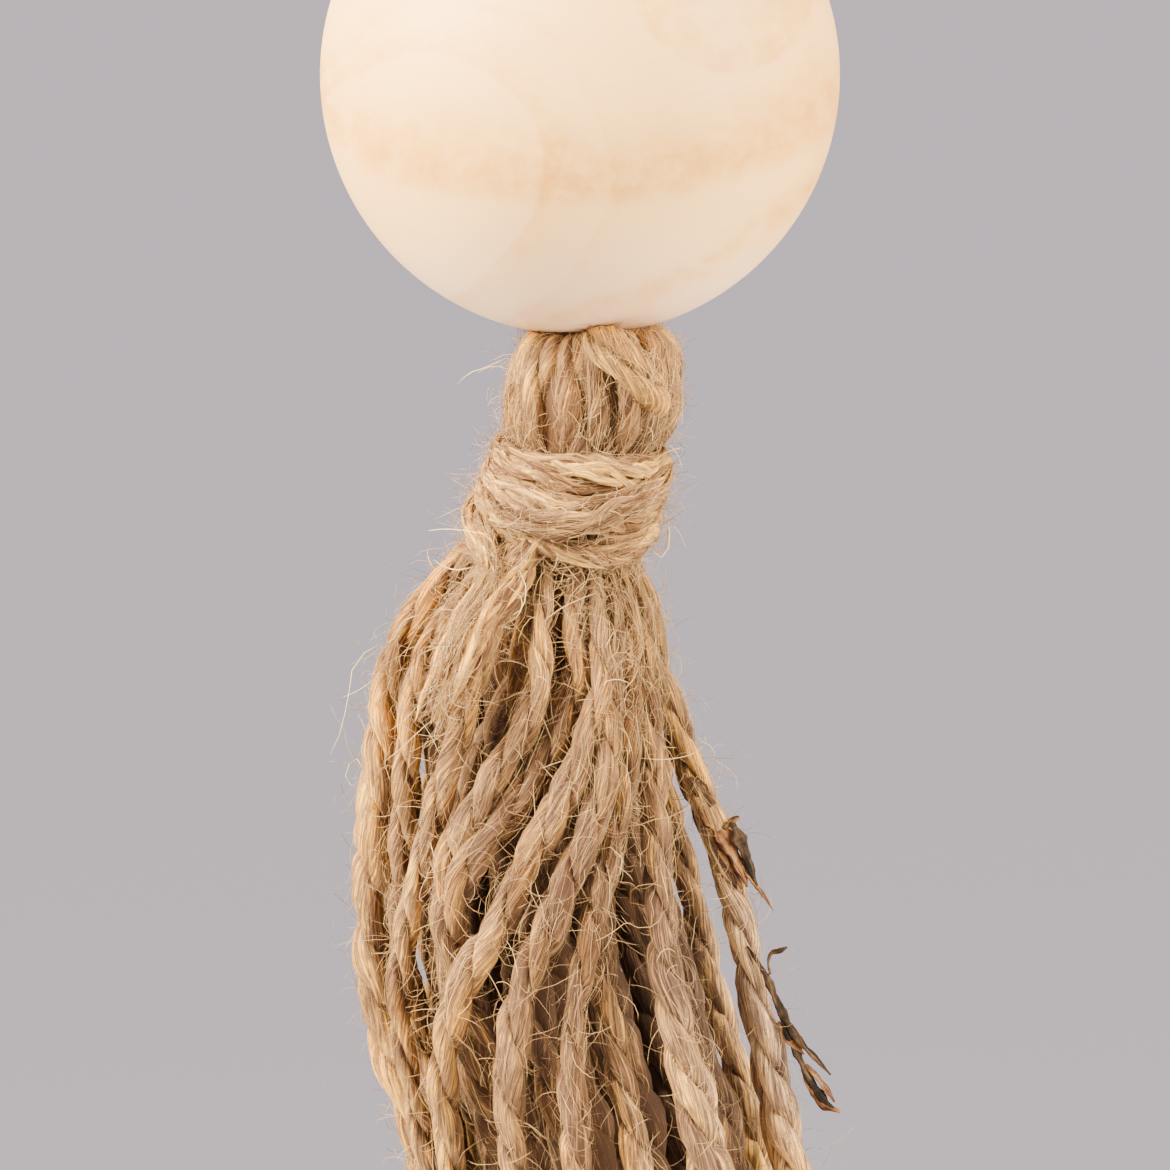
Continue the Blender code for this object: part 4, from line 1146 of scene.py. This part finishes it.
def make_tie(material):
    """Two twines up through the ball, a trefoil knot round them, and their splayed cut ends."""
    rng = np.random.default_rng(41)
    foot, knot, top = TIE_LOW[2], BEAD_TOP_Z + KNOT_RISE, TIE_HIGH[2]
    height = np.linspace(foot, knot + 2.6, TIE_ROWS)
    plies = []
    for turn_start in (0.0, np.pi):
        turn = turn_start - FULL_TURN * (height - foot) / TIE_PAIR_LAY
        path = np.stack([TIE_APART * np.cos(turn), TIE_APART * np.sin(turn), height], axis=-1)
        plies.append(twine_tubes(path[::-1], TIE_TWINE, rng.uniform(0.0, 6.3), rng, TIE_LAY))
    swing = np.linspace(0.0, FULL_TURN, TIE_ROWS)
    trefoil = np.stack([KNOT_SIZE * (np.sin(swing) + 2.0 * np.sin(2.0 * swing)),
                        KNOT_SIZE * (np.cos(swing) - 2.0 * np.cos(2.0 * swing)),
                        knot - KNOT_RISE * np.sin(3.0 * swing)], axis=-1)
    plies.append(twine_plies(trefoil, np.full(TIE_ROWS, KNOT_TWINE), 0.4, rng, TIE_LAY, TIE_SIDES))
    for end in range(4):
        out = np.array(TUFT_SPLAY)
        rise = np.array([knot + 1.2, knot + 3.2, top - 2.4, top - 0.5 - 0.5 * (end % 2)])
        angle = 0.5 * np.pi * end + 0.6 + 0.1 * rise
        path = smooth_path(np.stack([out * np.cos(angle), out * np.sin(angle), rise], axis=-1), 0.3)
        plies.append(twine_tubes(path[::-1], TUFT_TWINE, rng.uniform(0.0, 6.3), rng, TUFT_LAY))
    rings = np.concatenate(plies)
    tone = rng.uniform(-0.05, 0.1, (len(rings), TIE_ROWS))
    tube_mesh("tie_twines", rings, tone, material, FIBRE_SHEAR)
    return rings


# ---------------------------------------------------------------- the bead

def make_bead(material):
    """The drilled ball as one closed turned surface, its two mouths rounded over."""
    lowest = -np.sqrt(BEAD_RADIUS ** 2 - MOUTH_RADIUS ** 2)
    swing = np.arcsin(lowest / BEAD_RADIUS)
    swing = np.linspace(swing, -swing, BEAD_RINGS)
    outer = np.stack([BEAD_RADIUS * np.cos(swing), BEAD_RADIUS * np.sin(swing)], axis=-1)
    t = np.linspace(0.0, 1.0, 7)[1:, None]
    edge = np.array([[BORE_RADIUS, -lowest], [BORE_RADIUS, -lowest - MOUTH_DEPTH]])
    rounded = (1 - t) ** 2 * outer[-1] + 2 * t * (1 - t) * edge[0] + t ** 2 * edge[1]
    profile = np.concatenate([outer, rounded, rounded[::-1] * (1.0, -1.0)])
    turn = turns_round(BEAD_SIDES)
    points = np.stack([profile[:, :1] * np.cos(turn), profile[:, :1] * np.sin(turn),
                       BEAD_Z + profile[:, 1:] + 0.0 * turn], axis=-1)
    rows, sides = points.shape[:2]
    row, side = np.meshgrid(np.arange(rows), np.arange(sides), indexing="ij")
    next_row, next_side = (row + 1) % rows, (side + 1) % sides
    faces = np.stack([row * sides + side, row * sides + next_side,
                      next_row * sides + next_side, next_row * sides + side], axis=-1).reshape(-1, 4)
    mesh = bpy.data.meshes.new("bead_wood")
    mesh.from_pydata((points.reshape(-1, 3) * MM).tolist(), [], faces.tolist())
    mesh.shade_smooth()
    return finish_piece("bead_wood", mesh, material)


# ---------------------------------------------------------------- bark

def make_bark(material, carrier):
    """Thin torn flakes and slivers of bark, held by the length at the right edge."""
    rng = np.random.default_rng(53)
    shape = (BARK_ROWS, BARK_SIDES)
    rings = []
    for _, row in BARK:
        across, down, half = (column(row, index) for index in range(3))
        x, _, z = screen_point(across, down, 0.0)
        y = np.interp((down - BEAD_LOWEST_DOWN) / PIXELS_PER_MM, drop_of(carrier), carrier[:, 1]) - 1.0
        path = resample_rows(smooth_path(np.stack([x, y, z, half], axis=-1), 0.2)[None], BARK_ROWS)[0]
        ragged = path[:, 3] * (1.0 + 0.30 * ripple(arc_length(path[:, :3]), rng, 2.2))
        wide = np.ones(shape) * np.maximum(ragged, 0.05)[:, None]
        flat = np.full(shape, BARK_HALF_THICK) * np.clip(ragged / 0.4, 0.35, 1.0)[:, None]
        front = np.broadcast_to(np.array([0.45, -0.9, 0.1]), (BARK_ROWS, 3))
        rings.append(rings_round(path[None, :, :3], front[None], flat[None], wide[None])[0])
    tones = column(BARK, 0)[:, None] + rng.uniform(-0.1, 0.1, (len(rings), BARK_ROWS))
    tube_mesh("bark_slivers", np.array(rings), tones, material)


# ---------------------------------------------------------------- loose fibres

def faces_out(point, outward):
    """The share to keep of fibres that look away from the tassel's axis, none of the others."""
    axis_x = read(AXIS_FORM, 1, drop_of(point))
    away = np.stack([point[:, 0] - axis_x, point[:, 1]], axis=-1)
    facing = np.sum(unit(away) * outward[:, :2], axis=-1)
    return np.clip(0.35 + facing, 0.0, 1.0)


def upper(point, outward):
    """Fewer and fewer down the skirt."""
    return faces_out(point, outward) * np.clip(1.15 - (drop_of(point) - 20.0) / 90.0, 0.35, 1.0)


def near_neck(point, outward):
    """Only those within 14 mm below the neck."""
    return faces_out(point, outward) * np.clip(1.0 - (drop_of(point) - 17.0) / 14.0, 0.0, 1.0)


def under_the_ball(point, outward):
    """Only those close under the ball."""
    return faces_out(point, outward) * np.clip(1.6 - drop_of(point), 0.0, 1.0)


def above_knot(point, outward):
    """Only those on the tie's cut ends."""
    return 1.0 * (point[:, 2] > BEAD_TOP_Z + 4.0)


def on_lowest_wrap(point, outward):
    """Only those low on the binding's front."""
    return 1.0 * ((drop_of(point) > 15.6) & (point[:, 1] < 0.0))


def hair_roots_on(rng, rings, count, keep):
    """Random points on tubes with their outward and lengthwise directions.

    keep gives the share of points to keep from their positions and outward directions.
    """
    tubes, rows, sides = rings.shape[:3]
    picked = 6 * count
    tube = rng.integers(0, tubes, picked)
    row = rng.integers(1, rows - 1, picked)
    side = rng.integers(0, sides, picked)
    point = rings[tube, row, side]
    outward = unit(point - rings[tube, row].mean(axis=1))
    along = unit(rings[tube, row + 1, side] - rings[tube, row - 1, side])
    chosen = np.flatnonzero(rng.uniform(0.0, 1.0, picked) < keep(point, outward))[:count]
    return point[chosen], outward[chosen], along[chosen]


def loose_paths(rng, rings, count, keep, length, lift, curl, segments=6, astray=1.1):
    """Curved paths (hairs, points, 3) that leave tubes and bend back towards them.

    Each hair starts near the surface, in a direction that strays from the lengthwise one by
    astray. At every step its direction turns by its own curl to one side, and sinks towards the
    surface.
    """
    point, outward, along = hair_roots_on(rng, rings, count, keep)
    count = len(point)
    turn = rng.normal(0.0, astray, count)
    turn = (turn + np.pi * rng.integers(0, 2, count))[:, None]
    rise = rng.uniform(*lift, count)
    sideways = np.cross(outward, along)
    direction = unit(np.cos(turn) * along + np.sin(turn) * sideways + rise[:, None] * outward)
    size = rng.uniform(*length, count) * rng.uniform(0.4, 1.0, count)
    step = (size / segments)[:, None]
    bend = rng.normal(0.0, curl, count)[:, None]
    sink = (rise * rng.uniform(0.9, 2.6, count) / size)[:, None]
    points = [point - 0.05 * outward]
    for _ in range(segments):
        points.append(points[-1] + step * direction)
        wobble = rng.normal(0.0, 0.35 * curl, (count, 3))
        turned = np.cross(outward, direction) * bend - outward * sink + wobble
        direction = unit(direction + turned * step)
    return np.stack(points, axis=1)


def laid_paths(rng, rings, count, keep, rows_long, lift, drift):
    """Fibres that lie on tubes: each follows its tube's surface and bows a little off it.

    A fibre runs over some rows of its tube and drifts round it in proportion. Its points are read
    between the four nearest points of the rings.
    """
    tubes, rows, sides = rings.shape[:3]
    picked = 4 * count
    tube = rng.integers(0, tubes, picked)
    span = rng.uniform(*rows_long, picked)
    start = rng.uniform(1.0, rows - 2.0 - span)
    side = rng.uniform(0.0, sides, picked)
    middle_row = (start + 0.5 * span).astype(int)
    point = rings[tube, middle_row, side.astype(int) % sides]
    outward = unit(point - rings[tube, middle_row].mean(axis=1))
    chosen = np.flatnonzero(rng.uniform(0.0, 1.0, picked) < keep(point, outward))[:count]
    tube, span, start, side = (values[chosen, None] for values in (tube, span, start, side))
    share = np.linspace(0.0, 1.0, 5)
    at_row = start + span * share
    at_side = side + drift * span * (share - 0.5) + rng.normal(0.0, 0.35, (len(tube), 5))
    low_row, low_side = at_row.astype(int), np.floor(at_side).astype(int)
    row_part, side_part = (at_row - low_row)[..., None], (at_side - low_side)[..., None]

    def between_sides(row):
        return (rings[tube, row, low_side % sides] * (1 - side_part)
                + rings[tube, row, (low_side + 1) % sides] * side_part)

    surface = between_sides(low_row) * (1 - row_part) + between_sides(low_row + 1) * row_part
    away = unit(surface - rings[tube, low_row].mean(axis=2))
    lifted = rng.uniform(*lift, (len(tube), 1)) * np.abs(share - rng.uniform(0.0, 1.0, (len(tube), 1)))
    return surface + away * (0.03 + lifted)[..., None]


def end_paths(rng, rings, count):
    """Frayed fibres that stand out of the cut ends, count to each ply."""
    ends = rings[:, -1]
    down = unit(ends.mean(axis=1) - rings[:, -4].mean(axis=1))
    ply = np.repeat(np.arange(len(rings)), count)
    point = ends[ply, rng.integers(0, ends.shape[1], len(ply))]
    middle = ends[ply].mean(axis=1)
    point = middle + (point - middle) * rng.uniform(0.1, 1.0, (len(ply), 1))
    direction = unit(down[ply] + 0.45 * (point - middle) + rng.normal(0.0, 0.16, (len(ply), 3)))
    share = np.linspace(0.0, 1.0, 7)
    length = rng.uniform(0.5, 2.4, (len(ply), 1))
    bend = np.cross(direction, rng.normal(0.0, 0.35, (len(ply), 3)))
    return (point[:, None] + (length * share)[..., None] * direction[:, None]
            + (length * share ** 2)[..., None] * bend[:, None] * 0.5)


def hair_rings(paths, thickness):
    """Three-sided rings along hair paths, tapering to both ends."""
    share = np.linspace(0.0, 1.0, paths.shape[1])
    taper = 0.45 + 0.55 * np.sin(np.pi * share) ** 0.7
    reach = thickness[:, None, None] * taper[None, :, None] * np.ones(3)
    aside = np.broadcast_to(np.array([0.31, -0.9, 0.3]), paths.shape)
    return rings_round(paths, aside, reach, reach)


def make_hairs(name, paths, rng, material, half):
    """One mesh of loose fibres, each of its own half thickness and drawn out to a point at both ends.

    They stay out of the ball and below the part's top face.
    """
    paths = np.concatenate(paths)
    paths[..., 2] = np.minimum(paths[..., 2], -HAIR_BELOW_TOP)
    paths = outside_ball(paths, HAIR_OFF_BALL)
    rings = hair_rings(paths, rng.uniform(*half, len(paths)))[:, 1:-1]
    tones = np.repeat(rng.beta(2.0, 2.0, (len(paths), 1)), rings.shape[1], axis=1)
    tube_mesh(name, rings, tones, material, tips=paths[:, [0, -1]])


def make_strays(material):
    """The long single fibres that show against the background."""
    spots = ([screen_point(*spot) for spot in row[2]] for row in STRAYS)
    paths = np.concatenate([
        resample_rows(smooth_path(np.array(row), 0.2)[None], STRAY_POINTS) for row in spots])
    tones = np.repeat(column(STRAYS, 1)[:, None], STRAY_POINTS, axis=1)
    tube_mesh("stray_fibres", hair_rings(paths, column(STRAYS, 0)), tones, material)


def cover_with_fibres(skirt, head, bindings, tie, material):
    """Loose and laid fibres over every piece of twine, in meshes of one kind each.

    Each row names a mesh, its slot and its fibres' half thickness. Then come what draws the paths,
    the rings they start from, how many there are, which to keep, how long they are and the rest of
    what that function asks for.
    """
    rng = np.random.default_rng(61)
    head = head[:, : int(HEAD_SHOWN * head.shape[1])]
    front, back = (np.concatenate([rings for rings in skirt if rings.shape[1] == rows])
                   for rows in (FRONT_ROWS, BACK_ROWS))
    wraps, cross, end = bindings
    meshes = (
        ("laid_fibres", "jute", HAIR_HALF,
         (laid_paths, front, 3000, upper, (5.0, 10.0), (0.0, 0.9), 0.8),
         (laid_paths, back, 900, upper, (4.0, 8.0), (0.0, 0.9), 0.8),
         (laid_paths, head, 1300, faces_out, (6.0, 14.0), (0.0, 0.8), 0.6)),
        ("skirt_fuzz_front", "jute", (0.009, 0.027),
         (loose_paths, front, 4450, upper, (2.0, 8.0), (0.05, 0.8), 0.5),
         (loose_paths, front, 1150, near_neck, (1.5, 5.0), (0.05, 0.8), 0.6, 6, 1.6),
         (loose_paths, front, 170, upper, (5.0, 9.0), (0.3, 1.2), 0.3)),
        ("skirt_down", "jute", DOWN_HALF,
         (loose_paths, front, 4200, upper, (0.8, 3.4), (0.1, 1.0), 0.6, 4)),
        ("skirt_fuzz_back", "jute", HAIR_HALF,
         (loose_paths, back, 1500, upper, (1.5, 6.5), (0.05, 0.8), 0.55, 5)),
        ("end_frays", "jute", (0.03, 0.07), (end_paths, front, 16), (end_paths, back, 16)),
        ("head_fuzz", "jute", HAIR_HALF,
         (loose_paths, head, 3700, faces_out, (1.2, 5.0), (0.05, 0.6), 0.9, 5, 1.8),
         (loose_paths, head, 450, under_the_ball, (1.0, 3.0), (0.05, 0.6), 0.7, 5, 1.8)),
        ("head_down", "jute", DOWN_HALF,
         (loose_paths, head, 1500, faces_out, (0.8, 2.2), (0.3, 1.4), 0.5, 4)),
        ("tie_fuzz", "tie_jute", HAIR_HALF,
         (loose_paths, tie[3:], 160, above_knot, (1.0, 2.5), (0.1, 0.6), 0.4, 5)),
        ("binding_fuzz", "pale_jute", HAIR_HALF,
         (loose_paths, end, 500, faces_out, (1.5, 5.0), (0.05, 0.5), 0.25, 4),
         (loose_paths, wraps, 2500, faces_out, (1.2, 6.0), (0.02, 0.5), 0.5, 4, 0.7),
         (loose_paths, wraps, 900, on_lowest_wrap, (2.0, 6.0), (0.1, 0.9), 0.6, 4, 1.8),
         (loose_paths, cross, 380, faces_out, (1.5, 4.0), (0.05, 0.5), 0.5, 4),
         (laid_paths, wraps, 2500, faces_out, (6.0, 22.0), (0.0, 0.7), 0.05),
         (laid_paths, cross, 450, faces_out, (6.0, 22.0), (0.0, 0.4), 0.02)),
    )
    for name, slot, half, *sources in meshes:
        paths = [draw(rng, *source) for draw, *source in sources]
        make_hairs(name, paths, rng, material, half)
    make_strays(material)


# ---------------------------------------------------------------- floor, light, camera

def make_camera():
    """A long lens a little above the tassel, framed on the bead's lower part and the skirt."""
    distance = CAMERA_LENS / SENSOR * PICTURE_WIDTH / PIXELS_PER_MM
    aim = np.array(screen_point(PICTURE_MIDDLE, PICTURE_MIDDLE, 0.0))
    rise = np.radians(CAMERA_RISE)
    data = bpy.data.cameras.new("camera")
    data.lens = CAMERA_LENS
    data.sensor_width = SENSOR
    data.clip_start = 0.05
    data.clip_end = 200.0
    camera = link_new("camera", data)
    camera.location = (aim + distance * np.array([0.0, -np.cos(rise), np.sin(rise)])) * MM
    camera.rotation_euler = (0.5 * np.pi - rise, 0.0, 0.0)
    bpy.context.scene.camera = camera


def make_light(name, place_mm, size_mm, power):
    """A square soft box of warm light, aimed at the head of the tassel."""
    data = bpy.data.lights.new(name, "AREA")
    data.shape = "SQUARE"
    data.size = size_mm * MM
    data.energy = power
    data.color = linear(LIGHT_COLOUR)[:3]
    light = link_new(name, data)
    start = np.array(place_mm, dtype=float)
    away = start - np.array([0.0, 0.0, DROP_ZERO_Z - 15.0])
    light.location = start * MM
    tilt = np.arctan2(np.hypot(away[0], away[1]), away[2])
    light.rotation_euler = (tilt, 0.0, np.arctan2(away[1], away[0]) + 0.5 * np.pi)


def make_floor():
    """A wide flat disc of matt white, well below the tassel, stage only."""
    turn = turns_round(96)
    points = np.stack([FLOOR_RADIUS * np.cos(turn), FLOOR_RADIUS * np.sin(turn), FLOOR_Z + 0.0 * turn],
                      axis=-1)
    mesh = bpy.data.meshes.new("floor")
    mesh.from_pydata((points * MM).tolist(), [], [tuple(range(len(turn)))])
    mesh.materials.append(new_material("matt_white_floor", {
        "Base Color": linear(FLOOR_WHITE), "Roughness": 1.0, "Specular IOR Level": 0.0})[0])
    floor = link_new("floor", mesh)


def make_world():
    """An even grey surround; the white floor takes its tone, so the far edge melts into it."""
    world = bpy.data.worlds.new("studio")
    bpy.context.scene.world = world
    world.use_nodes = True
    background = world.node_tree.nodes["Background"]
    background.inputs["Color"].default_value = linear(BACKDROP)
    background.inputs["Strength"].default_value = 1.0


# ---------------------------------------------------------------- the scene

def build():
    """Every visible piece; the imported parts that they take the place of are hidden."""
    jute = jute_material("spun_jute", JUTE_STOPS)
    pale = jute_material("pale_jute_lock", PALE_STOPS)
    dark = jute_material("shaded_jute", DARK_STOPS)
    hair = hair_material("loose_jute_fibre")
    paths = length_paths()
    skirt = make_skirt(jute, paths)
    head = make_head(jute, dark)
    bindings = make_binding(pale)
    tie = make_tie(jute)
    make_bead(wood_material())
    make_bark(bark_material(), paths["right_edge"])
    cover_with_fibres(skirt, head, bindings, tie, hair)
    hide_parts("bundle")
    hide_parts("binding")
    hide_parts("tie")
    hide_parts("bead")


make_camera()
make_floor()
make_world()
make_light("key", (-720.0, -290.0, 400.0), 560.0, 84.0)
make_light("fill", (640.0, -300.0, 160.0), 520.0, 27.0)
build()
